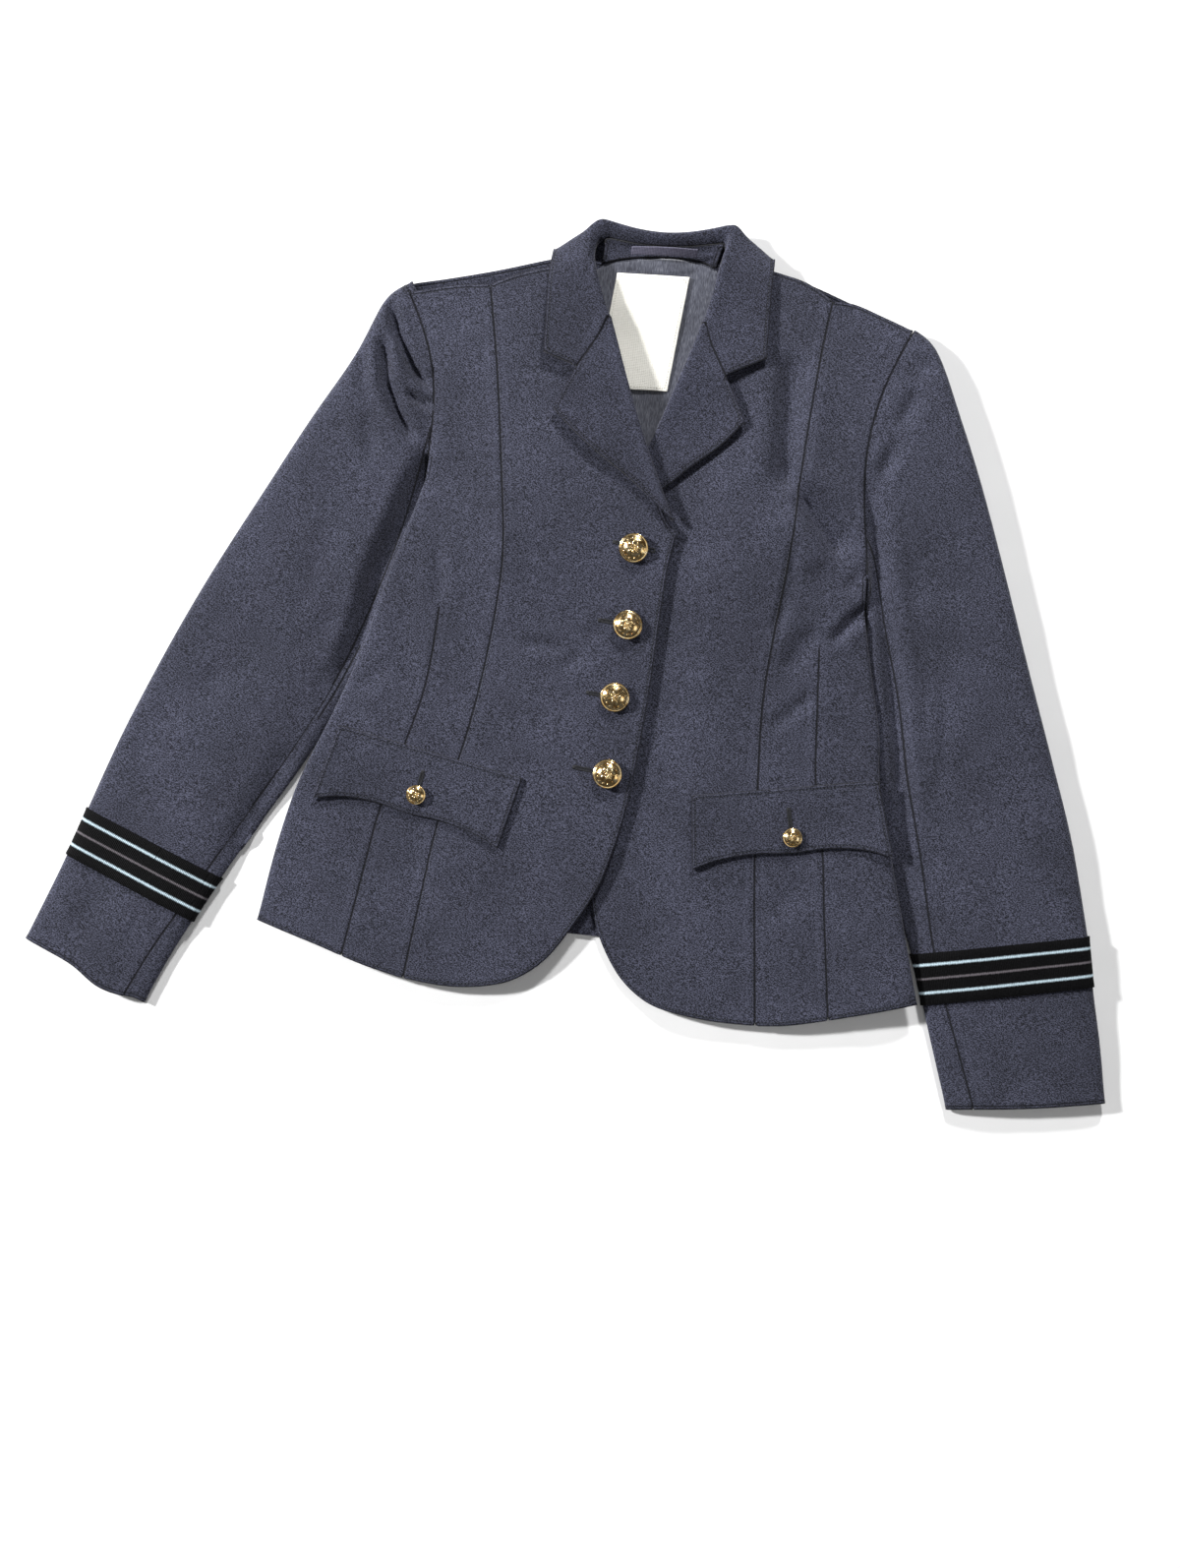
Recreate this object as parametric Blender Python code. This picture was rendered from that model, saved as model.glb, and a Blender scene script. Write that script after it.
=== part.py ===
"""A woman's military dress tunic in blue-grey wool, laid flat on its back with its front up.

Units are metres. +X is the wearer's left, +Y runs from the hem towards the collar, +Z is up.
The back lies on the plane z = 0 and the centre front is x = 0. Each cloth piece is a wall made
from its outer face: an outline is filled with a triangle net, set at its height and thickened
inwards. Neighbouring pieces stand a seam gap apart.
"""

import math

import bmesh
import bpy
import numpy as np
from mathutils import Vector
from mathutils.geometry import delaunay_2d_cdt

# ---- cloth and seams ----
CLOTH = 0.0016          # wool cloth with its fusing
FLAP_CLOTH = 0.0022     # pocket flap, two layers turned and pressed
LINING_CLOTH = 0.0010
LABEL_CLOTH = 0.0010
LACE_CLOTH = 0.0010
SEAM_GAP = 0.0003       # between the pieces of a seam
BACK_SEAM_ROOM = 0.0004  # more than the gap at the back seam, where the cloth bends up over the sleeve
SLIT_HALF = 0.00003     # half the dart's slit, before the net draws its outline in
LAY_GAP = 0.0006        # between a piece and the panel it lies on
LAYER = CLOTH + LAY_GAP

# ---- net sizes ----
FRONT_NET = 0.021
FRONT_STEP = FRONT_NET * 0.85   # along an outline
BACK_NET = 0.034
NET_MERGE = 1e-7
COLUMN_NEAR = 0.45      # shares of the net's size: a column clears its neighbours,
INSIDE_CLEAR = 0.50     # an inner point the outline
COLUMN_CLEAR = 0.14     # and a column's point the outline
LAPEL_STEP = 0.012

# ---- rolled edges ----
SIDE_ROLL = 0.006       # how far a body side takes to turn under
SHOULDER_ROLL = 0.007
ROLL_TURN_LEFT = 20     # degrees of the shoulder's roll left between its last point and the seam
ROLL_CLEAR = 0.004      # the armhole's last point stays this far below the shoulder's roll
LAPEL_ROLL = 0.0034
ROLL_ROOM = 0.0024      # the front stops this far short of the rolled lapel
COLLAR_ROOM = 0.0008    # and this much more short of the rolled collar
COLLAR_ROOM_Y = 0.012   # the step between the two is this long
SLEEVE_ROLL = 0.007
QUARTER = 1.25          # cloth in a quarter roll, over its width
SIDE_LIFT = 0.0088      # the body side lies on the sleeve
LIFT_REACH = 0.034      # from the side edge to where the back is on the floor
ARMHOLE_SPREAD = 0.045  # above the underarm the side line runs out this far, so the armhole lies flat
ARMHOLE_RISE = 0.030
NECK_LIFT = 0.0034      # the collar lies under the back neck
NECK_LIFT_FROM = 0.190  # y where the back starts to lift over the collar
NECK_LIFT_SIDE = 0.114  # and how far out it does so
NECK_LIFT_OVER = {"y": 0.022, "x": 0.020}

# ---- body outlines: rows of (y, x) from the top down ----
SIDE_EDGE = {
    "right": ((0.062, -0.1670), (0.029, -0.1760), (-0.018, -0.1895), (-0.069, -0.2010),
              (-0.129, -0.2205), (-0.185, -0.2422), (-0.237, -0.2545), (-0.2968, -0.2632)),
    "left": ((-0.009, 0.1862), (-0.0615, 0.1985), (-0.106, 0.2090), (-0.140, 0.2118),
             (-0.199, 0.2285), (-0.242, 0.2410), (-0.3075, 0.2595)),
}
PRINCESS = {
    "right": ((0.2170, -0.1328), (0.177, -0.1248), (0.132, -0.1169), (0.071, -0.1081), (0.010, -0.1002),
              (-0.051, -0.1027), (-0.125, -0.1120), (-0.204, -0.1290), (-0.255, -0.1354), (-0.3300, -0.1437)),
    "left": ((0.2322, 0.1350), (0.205, 0.1318), (0.166, 0.1282), (0.111, 0.1248), (0.034, 0.1222),
             (-0.043, 0.1159), (-0.090, 0.1140), (-0.147, 0.1168), (-0.2125, 0.1213), (-0.3380, 0.1350)),
}
DART = {
    "right": ((-0.0358, -0.1453), (-0.095, -0.1490), (-0.144, -0.1600), (-0.199, -0.1752),
              (-0.245, -0.1827), (-0.3177, -0.1937)),
    "left": ((-0.0356, 0.1530), (-0.108, 0.1584), (-0.144, 0.1615), (-0.198, 0.1730),
             (-0.237, 0.1781), (-0.3275, 0.1912)),
}
BACK_SEAM = ((0.118, 0.1690), (0.085, 0.1450), (0.030, 0.1220), (-0.050, 0.1080), (-0.150, 0.1120),
             (-0.2835, 0.1300))   # the same on both sides; its top meets the armhole

# ---- outlines: rows of (x, y) ----
# an armhole's first point is on the shoulder's fold, its second ends the seam
ARMHOLE = {
    "right": ((-0.1990, 0.2113), (-0.1945, 0.2048), (-0.1850, 0.1870), (-0.1760, 0.1670), (-0.1690, 0.1450),
              (-0.1658, 0.1200), (-0.1658, 0.0940), (-0.1670, 0.0620)),
    "left": ((0.2022, 0.2182), (0.1992, 0.2132), (0.1898, 0.1930), (0.1810, 0.1690), (0.1740, 0.1330),
             (0.1728, 0.1000), (0.1780, 0.0600), (0.1835, 0.0300), (0.1862, -0.0090)),
}
SHOULDER_FOLD = {
    "right": ((-0.215, 0.2068), (-0.197, 0.2115), (-0.170, 0.2186), (-0.132, 0.2288), (-0.0855, 0.2436),
              (-0.060, 0.2505)),
    "left": ((0.060, 0.2602), (0.0855, 0.2534), (0.112, 0.2492), (0.134, 0.2415), (0.168, 0.2302),
             (0.202, 0.2180), (0.215, 0.2124)),
}
SHOULDER_SEAM_DROP = {"right": 0.0072, "left": 0.0026}   # from the shoulder fold down the front
NECK_SIDE = {"right": -0.0600, "left": 0.0580}
NECK_BEND = {"in": 0.003, "y": 0.228, "end": 0.001}     # the front's neck edge bends inwards at y
ROLL_END_Y = 0.0460     # the front's roll edge ends here, at the break
FRONT_EDGE = {
    "right": ((0.0333, 0.0385), (0.0292, 0.0180), (0.0272, -0.0200), (0.0255, -0.0680), (0.0235, -0.1080),
              (0.0165, -0.1800), (0.0022, -0.2415), (-0.0130, -0.2707), (-0.0243, -0.2912), (-0.0363, -0.3073),
              (-0.0506, -0.3184), (-0.0638, -0.3260), (-0.0884, -0.3315), (-0.1180, -0.3328),
              (-0.1437, -0.3300)),
    "left": ((-0.0305, 0.0385), (-0.0275, -0.0200), (-0.0255, -0.0680), (-0.0215, -0.1440), (-0.0135, -0.2000),
             (-0.0040, -0.2515), (0.0056, -0.2820), (0.0162, -0.3005), (0.0287, -0.3165), (0.0483, -0.3303),
             (0.0820, -0.3366), (0.1100, -0.3385), (0.1350, -0.3380)),
}
SIDE_HEM = {
    "right": ((-0.1437, -0.3300), (-0.1764, -0.3230), (-0.1937, -0.3177), (-0.2125, -0.3115),
              (-0.2632, -0.2968)),
    "left": ((0.1350, -0.3380), (0.1555, -0.3362), (0.1912, -0.3275), (0.2300, -0.3165), (0.2595, -0.3075)),
}
BACK_HEM_Y = -0.2815
UNDER_HEM = ((0.2000, -0.2900), (0.1300, -0.2835))     # the side body's hem underneath, for +x
BACK_HEM_HALF = 0.1100
BACK_NECK = {"x": 0.0460, "at": 0.060}  # the back's neck corner, at the height of the shoulder at another x

# ---- lapels and collar ----
ROLL_LINE = {   # rows of (y, x)
    "right": ((0.2714, -0.0500), (0.2490, -0.0532), (0.2187, -0.0431), (0.1913, -0.0319), (0.1504, -0.0166),
              (0.1042, 0.0026), (0.0718, 0.0178), (0.0380, 0.0333)),
    "left": ((0.2744, 0.0477), (0.2550, 0.0437), (0.2243, 0.0385), (0.2030, 0.0339), (0.1594, 0.0209),
             (0.1050, 0.0032), (0.0718, -0.0120), (0.0380, -0.0305)),
}
GORGE_GAP = 0.0006      # from the collar to the lapel along the gorge
GORGE_SHARES = (0.35, 0.68, 0.97)       # of the gorge that get a point, as on the collar
LAPEL_SHARES = (0.0, 0.18, 0.33, 1.0)   # of the roll line, opposite the lapel's top, notch, corner and break
LAPEL = {       # rows of (x, y) from the gorge round to the break
    "right": ((-0.0585, 0.1581), (-0.0652, 0.1436), (-0.0732, 0.1250), (-0.0584, 0.1110), (-0.0345, 0.0931),
              (-0.0081, 0.0767), (0.0129, 0.0598), (0.0230, 0.0510), (0.0288, 0.0480)),
    "left": ((0.0570, 0.1635), (0.0668, 0.1482), (0.0758, 0.1293), (0.0666, 0.1179), (0.0529, 0.1036),
             (0.0366, 0.0901), (0.0186, 0.0718), (-0.0080, 0.0560), (-0.0256, 0.0480)),
}
# a row is one section of the collar: y of its fold, which is on the roll line,
# a point halfway and its outer edge
COLLAR_FRONT = {
    "right": (
        (0.2006, (-0.0590, 0.1592), (-0.0856, 0.1675)),
        (0.2175, (-0.0660, 0.1880), (-0.0862, 0.1860)),
        (0.2360, (-0.0690, 0.2150), (-0.0872, 0.2060)),
        (0.2520, (-0.0715, 0.2370), (-0.0880, 0.2290)),
    ),
    "left": (
        (0.2040, (0.0575, 0.1648), (0.0878, 0.1807)),
        (0.2210, (0.0630, 0.1930), (0.0873, 0.1970)),
        (0.2400, (0.0660, 0.2220), (0.0868, 0.2180)),
        (0.2580, (0.0675, 0.2450), (0.0862, 0.2390)),
    ),
}
# the collar round the back of the neck: a row is a section, with the stand's top, the fold, the turn behind it,
# the heel on the floor, a point halfway and the outer edge, each (x, y, z) of the outer face, for +x
COLLAR_BACK = (
    ((0.0460, 0.2670, 0.0125), (0.0505, 0.2765, 0.0170), (0.0560, 0.2780, 0.0150),
     (0.0650, 0.2700, 0.0128), (0.0755, 0.2635, 0.0120), (0.0868, 0.2560, 0.0108)),
    ((0.0435, 0.2668, 0.0120), (0.0475, 0.2785, 0.0168), (0.0515, 0.2820, 0.0138),
     (0.0570, 0.2750, 0.0060), (0.0690, 0.2635, 0.0020), (0.0838, 0.2480, 0.0005)),
    ((0.0400, 0.2665, 0.0115), (0.0430, 0.2780, 0.0165), (0.0460, 0.2815, 0.0125),
     (0.0490, 0.2750, 0.0010), (0.0590, 0.2510, 0.0000), (0.0740, 0.2250, 0.0000)),
    ((0.0220, 0.2635, 0.0112), (0.0230, 0.2725, 0.0165), (0.0240, 0.2762, 0.0125),
     (0.0260, 0.2720, 0.0010), (0.0300, 0.2510, 0.0000), (0.0360, 0.2240, 0.0000)),
    ((0.0000, 0.2622, 0.0110), (0.0000, 0.2700, 0.0165), (0.0000, 0.2738, 0.0125),
     (0.0000, 0.2700, 0.0010), (0.0000, 0.2500, 0.0000), (0.0000, 0.2250, 0.0000)),
)
COLLAR_LIFT = 0.0008     # the collar stands this much further off the front than a lapel
COLLAR_STEPS = 2        # sections made between two rows
COLLAR_TILT = 0.06      # the collar's left half sits higher: y grows by this much of x
STAND_SHORT = 0.10       # the stand's wall ends this share short of the collar's fold
STAND_SEAM = ((-0.0480, 0.2440, 0.0096), (-0.0400, 0.2480, 0.0090), (-0.0200, 0.2520, 0.0086),
              (0.0000, 0.2540, 0.0086), (0.0200, 0.2552, 0.0086), (0.0340, 0.2548, 0.0090),
              (0.0410, 0.2500, 0.0096))
STAND_ROWS = 13
STAND_STEP = 0.012
STAND_HOLLOW = 0.0010   # the stand is hollow by this much between its two edges
ROLL_RISE = 0.0030      # a lapel or collar stands up where it rolls
ROLL_REACH = 0.016
LEFT_ROLL_SHARE = 0.1   # of that rise is left where the left lapel goes under the right one
LEFT_ROLL = {"from": 0.100, "over": 0.045}          # y where it ends
EDGE_STAND = {"right": 0.0042, "left": 0.0022}      # the edges round the notch stand this much off the fronts
STAND_AWAY = 0.040      # how far from the roll they stand in full
STAND_LOW = {"from": 0.055, "over": 0.045}          # y over which this grows from the break
STAND_HIGH = {"from": 0.185, "over": 0.050, "left": 0.2}    # and shrinks to a share towards the shoulder
UNDER_TURN = {"least": 0.2, "over": 0.018}          # a lapel's under edge flattens out this close to the break
FOLD_WIDTH = 1.6        # a lapel narrower than this many rolls has a narrower fold
LAPEL_ACROSS = (0.15, 0.32, 0.55, 0.78, 1.0)        # shares of a lapel's width that get a point
OVERLAP_DROP = 2 * LAYER + 0.0008   # the left front lies this much lower under the right one
OVERLAP_EDGE = 0.036
OVERLAP_REACH = 0.040
OVERLAP_TOP = {"from": 0.112, "over": 0.060}        # y over which it ends

# ---- heights of the fronts' outer face: (y, at the centre, towards the sides) ----
FRONT_HEIGHT = ((-0.340, 0.0085, 0.0075), (-0.250, 0.0105, 0.0090), (-0.150, 0.0130, 0.0105),
                (-0.060, 0.0145, 0.0110), (0.020, 0.0180, 0.0130), (0.080, 0.0195, 0.0140),
                (0.150, 0.0185, 0.0145), (0.210, 0.0160, 0.0135), (0.270, 0.0140, 0.0120))
SIDE_SHARE = {"from": 0.50, "over": 0.45}   # share of the half width where the height goes over to the side's
SIDE_THICK = 0.0062     # from the sleeve below to the outer face, at the side
RAISED_ABOVE = 0.080    # the side is raised up to this far above the underarm
NECK_HALF = 0.050       # inside it the shoulder roll stops
BUST = {"x": 0.092, "y": 0.030, "wide": 0.050, "high": 0.058, "rise": 0.0045}
LIFT_ROWS = {   # (y, share of the side lift)
    "right": ((-0.215, 0.0), (-0.150, 1.0), (0.080, 1.0)),
    "left": ((-0.340, 0.9), (-0.260, 1.0), (0.080, 1.0)),
}
# soft creases: middle x and y, heading in degrees from +x, half length, half width, depth (a ridge is negative)
CREASES = (
    {"x": -0.080, "y": 0.020, "turn": -58, "half": 0.030, "wide": 0.012, "deep": 0.0016},
    {"x": -0.065, "y": -0.052, "turn": -10, "half": 0.034, "wide": 0.009, "deep": 0.0016},
    {"x": 0.163, "y": 0.040, "turn": 72, "half": 0.050, "wide": 0.015, "deep": 0.0024},
    {"x": 0.140, "y": -0.070, "turn": 58, "half": 0.050, "wide": 0.014, "deep": 0.0014},
    {"x": 0.127, "y": -0.245, "turn": 48, "half": 0.036, "wide": 0.012, "deep": 0.0014},
    {"x": -0.158, "y": 0.000, "turn": 80, "half": 0.040, "wide": 0.013, "deep": 0.0018},
    {"x": -0.120, "y": -0.262, "turn": 66, "half": 0.046, "wide": 0.016, "deep": -0.0012},
)

# ---- sleeves: a row is one section, outer and inner edge, how much of the armhole's curve it keeps, where the
# front seam crosses it (share of the width) and its thickness ----
SLEEVES = {
    "right": (
        ((-0.1990, 0.2113), (-0.1670, 0.0620), 1.00, 0.74, 0.0150),
        ((-0.2142, 0.1978), (-0.1675, 0.0500), 0.95, 0.8, 0.0175),
        ((-0.2308, 0.1538), (-0.1700, 0.0330), 0.70, 0.85, 0.0185),
        ((-0.2596, 0.1035), (-0.1740, 0.0030), 0.38, 0.88, 0.0175),
        ((-0.2880, 0.0480), (-0.1830, -0.0300), 0.12, 0.9, 0.0160),
        ((-0.3182, -0.0105), (-0.1960, -0.0700), 0.00, 0.91, 0.0150),
        ((-0.3423, -0.0612), (-0.2130, -0.1160), 0.00, 0.915, 0.0140),
        ((-0.3660, -0.1170), (-0.2390, -0.1710), 0.00, 0.9, 0.0130),
        ((-0.3870, -0.1710), (-0.2660, -0.2170), 0.00, 0.9, 0.0125),
        ((-0.4035, -0.2220), (-0.2935, -0.2660), 0.00, 0.895, 0.0120),
        ((-0.4160, -0.2600), (-0.3125, -0.3025), 0.00, 0.88, 0.0115),
        ((-0.4300, -0.2970), (-0.3275, -0.3320), 0.00, 0.86, 0.0105),
        ((-0.4420, -0.3290), (-0.3435, -0.3700), 0.00, 0.84, 0.0095),
    ),
    "left": (
        ((0.2022, 0.2182), (0.1862, -0.0090), 1.00, 0.74, 0.0150),
        ((0.2205, 0.2046), (0.1880, -0.0200), 0.80, 0.75, 0.0170),
        ((0.2420, 0.1580), (0.1880, -0.0420), 0.50, 0.76, 0.0180),
        ((0.2642, 0.1080), (0.1900, -0.0640), 0.28, 0.77, 0.0175),
        ((0.2896, 0.0427), (0.1950, -0.0900), 0.10, 0.77, 0.0165),
        ((0.3126, -0.0198), (0.1990, -0.1200), 0.00, 0.77, 0.0155),
        ((0.3326, -0.0728), (0.2050, -0.1520), 0.00, 0.78, 0.0150),
        ((0.3519, -0.1238), (0.2160, -0.1880), 0.00, 0.79, 0.0145),
        ((0.3686, -0.1703), (0.2310, -0.2220), 0.00, 0.825, 0.0140),
        ((0.3875, -0.2390), (0.2510, -0.2680), 0.00, 0.875, 0.0130),
        ((0.3955, -0.2780), (0.2640, -0.3070), 0.00, 0.87, 0.0125),
        ((0.4065, -0.3215), (0.2770, -0.3450), 0.00, 0.85, 0.0115),
        ((0.4155, -0.3680), (0.2915, -0.3868), -0.10, 0.835, 0.0100),
    ),
}
HEM_DIP = {
    "right": {"at": 0.68, "half": 0.26, "deep": 0.0085},
    "left": {"at": 0.5, "half": 0.4, "deep": 0.0010},
}
HEM_DIP_FROM = 0.90     # share of the length over which the hem's dip grows
LACE_ROWS = (9, 10)     # the cuff lace lies between these sections
LACE_REACH = 0.05       # share of the length over which the sleeve rises over the lace
LACE_OFF = 0.9          # seam gaps between the sleeve and the lace
SLEEVE_STEPS = 2        # sections made between two rows
INNER_FLAT = 0.0066     # thickness of a sleeve along its inner edge, under the body
INNER_REACH = 0.34      # share of the width over which it thins
UNDER_SEAM = 0.16       # the other seam, on the underside, as a share of the width
SLEEVE_HOLLOW_SIDES = 4
SLEEVE_SEAM_GAP = 0.0007
SEAM_SIDE = 0.0022      # a narrow strip beside each sleeve seam keeps its two edges parallel
ARMHOLE_CLEAR = 0.0010
HEAD_BLEND = 0.12       # share of the length over which the sleeve head leaves the body's height
HEAD_REACH = 0.002      # how far inside the armhole that height is taken
HEAD_INNER = 0.22       # shares of the width at both ends over which it keeps its own height
HEAD_OUTER = 0.06

# ---- pocket flaps: the top edge from inner to outer corner, how deep the corners, arcs and point reach ----
FLAPS = {
    "right": {"inner": (-0.0670, -0.1640), "outer": (-0.2130, -0.1378), "low_edge": (0.0030, 0.1535)},
    "left": {"inner": (0.0660, -0.1632), "outer": (0.2095, -0.1362), "low_edge": (-0.0040, 0.1530)},
}
FLAP_DEPTH = 0.0500     # from the top edge to the shallowest part of the arcs
FLAP_CORNERS = (0.0085, 0.0120)   # how much deeper the inner and the outer corner are
FLAP_POINT = {"drop": 0.0045, "half": 0.045}
FLAP_NET = 0.017
FLAP_OFF = 0.0016       # further off the body at its outer end
FLAP_OFF_FROM = 0.200   # from this far out
FLAP_OFF_REACH = 0.020

# ---- buttons ----
BUTTON = {"radius": 0.0120, "dome": 0.0052, "rim": 0.0014}
SMALL_BUTTON = {"radius": 0.0080, "dome": 0.0036, "rim": 0.0010}
FRONT_BUTTONS = ((0.0008, 0.0236), (0.0022, -0.0365), (-0.0020, -0.0933), (-0.0009, -0.1538))
FLAP_BUTTONS = {"right": (-0.1479, -0.1856), "left": (0.1476, -0.1877)}
BUTTON_SIDES = 16
# the shank, back and rim: shares of the radius across, and of the rim up
BUTTON_BACK = ((0.0, 0.0), (0.28, 0.0), (0.28, 1.2), (0.86, 1.4), (1.0, 2.0), (0.985, 2.8))
DOME_SHARE = 0.92       # the dome springs from this share of the radius
DOME_TURNS = (8, 32, 58)
BUTTON_SEAT = 0.3       # share of the radius over which a button looks for the highest cloth below it
BUTTON_CLEAR = 0.0005

# ---- inside the neck ----
LINING_OUTLINE = ((-0.058, 0.2350), (-0.048, 0.1900), (-0.028, 0.1400), (-0.006, 0.0980), (0.008, 0.0900),
                  (0.026, 0.1000), (0.042, 0.1500), (0.052, 0.2000), (0.053, 0.2400), (0.041, 0.2490),
                  (0.020, 0.2542), (0.000, 0.2530), (-0.020, 0.2510), (-0.041, 0.2465))
LINING_NET = 0.018
LINING_HEIGHT = 0.0052
LINING_SHARE = 0.75     # of the back's lift that the lining follows
LINING_DIP = {"deep": 0.0012, "below": 0.180, "over": 0.080}
PLEAT = {"x": -0.003, "high": 0.0008, "wide": 0.006}
LABEL = {"top_right": (0.0218, 0.2405), "tilt": 5.1, "wide": 0.057, "high": 0.091, "off": 0.0004}
LABEL_COLUMNS = 6
LABEL_ROWS = 8
HANGER = {"half": 0.026, "high": 0.0055, "y": 0.2535, "bow": 0.0030, "z": 0.0130, "lean": 0.0040}
HANGER_ROWS = 9

SIDES = {"right": -1, "left": 1}

MATERIALS = {   # linear base colour, roughness, metallic
    "wool_barathea": ((0.072, 0.076, 0.096), 0.90, 0.0),
    "lapel_barathea": ((0.068, 0.072, 0.092), 0.90, 0.0),
    "satin_lining": ((0.052, 0.055, 0.075), 0.55, 0.0),
    "woven_label": ((0.88, 0.88, 0.82), 0.80, 0.0),
    "cuff_lace": ((0.010, 0.010, 0.013), 0.70, 0.0),
    "gilt_brass": ((0.80, 0.58, 0.22), 0.25, 1.0),
}


# ---------------------------------------------------------------- curves

def spline_point(before, start, end, after, t):
    """A point of the Catmull-Rom curve at a share t of the way from start to end."""
    square = (2 * before - 5 * start + 4 * end - after) * t ** 2
    cube = (3 * start - before - 3 * end + after) * t ** 3
    return 0.5 * (2 * start + (end - before) * t + square + cube)


def through(points, step):
    """A smooth curve through the points, with a point about every step; it keeps the first and last."""
    points = np.array(points, float)
    ends = np.vstack([2 * points[0] - points[1], points, 2 * points[-1] - points[-2]])
    curve = []
    for before, start, end, after in zip(ends, ends[1:], ends[2:], ends[3:]):
        count = max(1, round(float(np.linalg.norm(end - start)) / step))
        for i in range(count):
            t = i / count
            curve.append(spline_point(before, start, end, after, t))
    curve.append(points[-1])
    return np.array(curve)


def between(rows, steps):
    """Rows of numbers made smooth, with the same number of steps from each row to the next."""
    rows = np.array(rows, float)
    ends = np.concatenate([[2 * rows[0] - rows[1]], rows, [2 * rows[-1] - rows[-2]]])
    smooth = []
    for before, start, end, after in zip(ends, ends[1:], ends[2:], ends[3:]):
        for i in range(steps):
            t = i / steps
            smooth.append(spline_point(before, start, end, after, t))
    smooth.append(rows[-1])
    return np.array(smooth)


def by_y(rows):
    """x as a smooth function of y, from rows of (y, x)."""
    curve = through(sorted(rows), 0.003)
    return lambda y: float(np.interp(y, curve[:, 0], curve[:, 1]))


def by_x(rows):
    curve = through(sorted(rows), 0.003)
    return lambda x: float(np.interp(x, curve[:, 0], curve[:, 1]))


def ease(share):
    share = min(1.0, max(0.0, share))
    return share * share * (3 - 2 * share)


SIDE_X = {side: by_y(rows) for side, rows in SIDE_EDGE.items()}
SHOULDER_Y = {side: by_x(rows) for side, rows in SHOULDER_FOLD.items()}
ROLL_X = {side: by_y(rows) for side, rows in ROLL_LINE.items()}
LIFT_SHARE = {side: by_y(rows) for side, rows in LIFT_ROWS.items()}
CENTRE_HEIGHT = by_y([(y, centre) for y, centre, _ in FRONT_HEIGHT])
SIDE_HEIGHT = by_y([(y, edge) for y, _, edge in FRONT_HEIGHT])
UNDERARM_Y = {side: rows[0][0] for side, rows in SIDE_EDGE.items()}


# ---------------------------------------------------------------- heights

def side_of(x):
    return "left" if x > 0 else "right"


def side_line(side, y):
    """x of the body's side fold; above the underarm it runs outwards, clear of the armhole."""
    return SIDE_X[side](y) + SIDES[side] * ARMHOLE_SPREAD * ease((y - UNDERARM_Y[side]) / ARMHOLE_RISE)


def back_height(x, y):
    """The underside of the back: on the floor, but raised over the sleeve and over the collar."""
    side = side_of(x)
    inboard = abs(side_line(side, y)) - abs(x)
    flat = LIFT_REACH - 2 * SIDE_ROLL
    lift = SIDE_LIFT * max(0.0, LIFT_SHARE[side](y)) * ease((LIFT_REACH - inboard) / flat)
    behind = ease((y - NECK_LIFT_FROM) / NECK_LIFT_OVER["y"])
    neck = NECK_LIFT * behind * ease((NECK_LIFT_SIDE - abs(x)) / NECK_LIFT_OVER["x"])
    return max(lift, neck)


def crease_depth(x, y, creases):
    depth = 0.0
    for crease in creases:
        turn = math.radians(crease["turn"])
        along = (x - crease["x"]) * math.cos(turn) + (y - crease["y"]) * math.sin(turn)
        across = (y - crease["y"]) * math.cos(turn) - (x - crease["x"]) * math.sin(turn)
        depth += crease["deep"] * math.exp(-(across / crease["wide"]) ** 2 - (along / crease["half"]) ** 4)
    return depth


def body_height(x, y):
    """The outer face of the fronts, before they round off at the shoulder."""
    side = side_of(x)
    edge = abs(side_line(side, y))
    outwards = ease((abs(x) / edge - SIDE_SHARE["from"]) / SIDE_SHARE["over"])
    raised = SIDE_LIFT * LIFT_SHARE[side](y) + SIDE_THICK
    at_side = max(SIDE_HEIGHT(y), raised if y < UNDERARM_Y[side] + RAISED_ABOVE else 0.0)
    off_x, off_y = (abs(x) - BUST["x"]) / BUST["wide"], (y - BUST["y"]) / BUST["high"]
    bust = BUST["rise"] * math.exp(-off_x ** 2 - off_y ** 2)
    middle = CENTRE_HEIGHT(y)
    return middle + (at_side - middle) * outwards + bust - crease_depth(x, y, CREASES)


def front_height(x, y):
    """The outer face of the fronts, rounded down at the shoulder fold."""
    low = back_height(x, y)
    high = body_height(x, y)
    inside = SHOULDER_Y[side_of(x)](x) - y
    if inside >= SHOULDER_ROLL or abs(x) < NECK_HALF:
        return high
    share = math.sqrt(max(0.0, 1 - (1 - max(0.0, inside) / SHOULDER_ROLL) ** 2))
    return low + (high - low) * (1 + share) / 2


def overlap_drop(x, y):
    """How much lower the left front lies, under the right one."""
    below = 1 - ease((y - OVERLAP_TOP["from"]) / OVERLAP_TOP["over"])
    return OVERLAP_DROP * (1 - ease((x - OVERLAP_EDGE) / OVERLAP_REACH)) * below


def panel_height(side, x, y):
    return front_height(x, y) - (overlap_drop(x, y) if side == "left" else 0.0)


def rolled(low, high, turn):
    """(share of the roll's width from the fold, height) at a turn from -90, below, to 90 degrees, above."""
    angle = math.radians(max(-90.0, min(90.0, turn)))
    return 1 - math.cos(angle), low + (high - low) * (1 + math.sin(angle)) / 2


# ---------------------------------------------------------------- solids

def material(name):
    found = bpy.data.materials.get(name)
    if found:
        return found
    colour, roughness, metallic = MATERIALS[name]
    made = bpy.data.materials.new(name)
    made.use_nodes = True
    shader = made.node_tree.nodes["Principled BSDF"]
    shader.inputs["Base Color"].default_value = (*colour, 1.0)
    shader.inputs["Roughness"].default_value = roughness
    shader.inputs["Metallic"].default_value = metallic
    made.diffuse_color = (*colour, 1.0)
    return made


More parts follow.
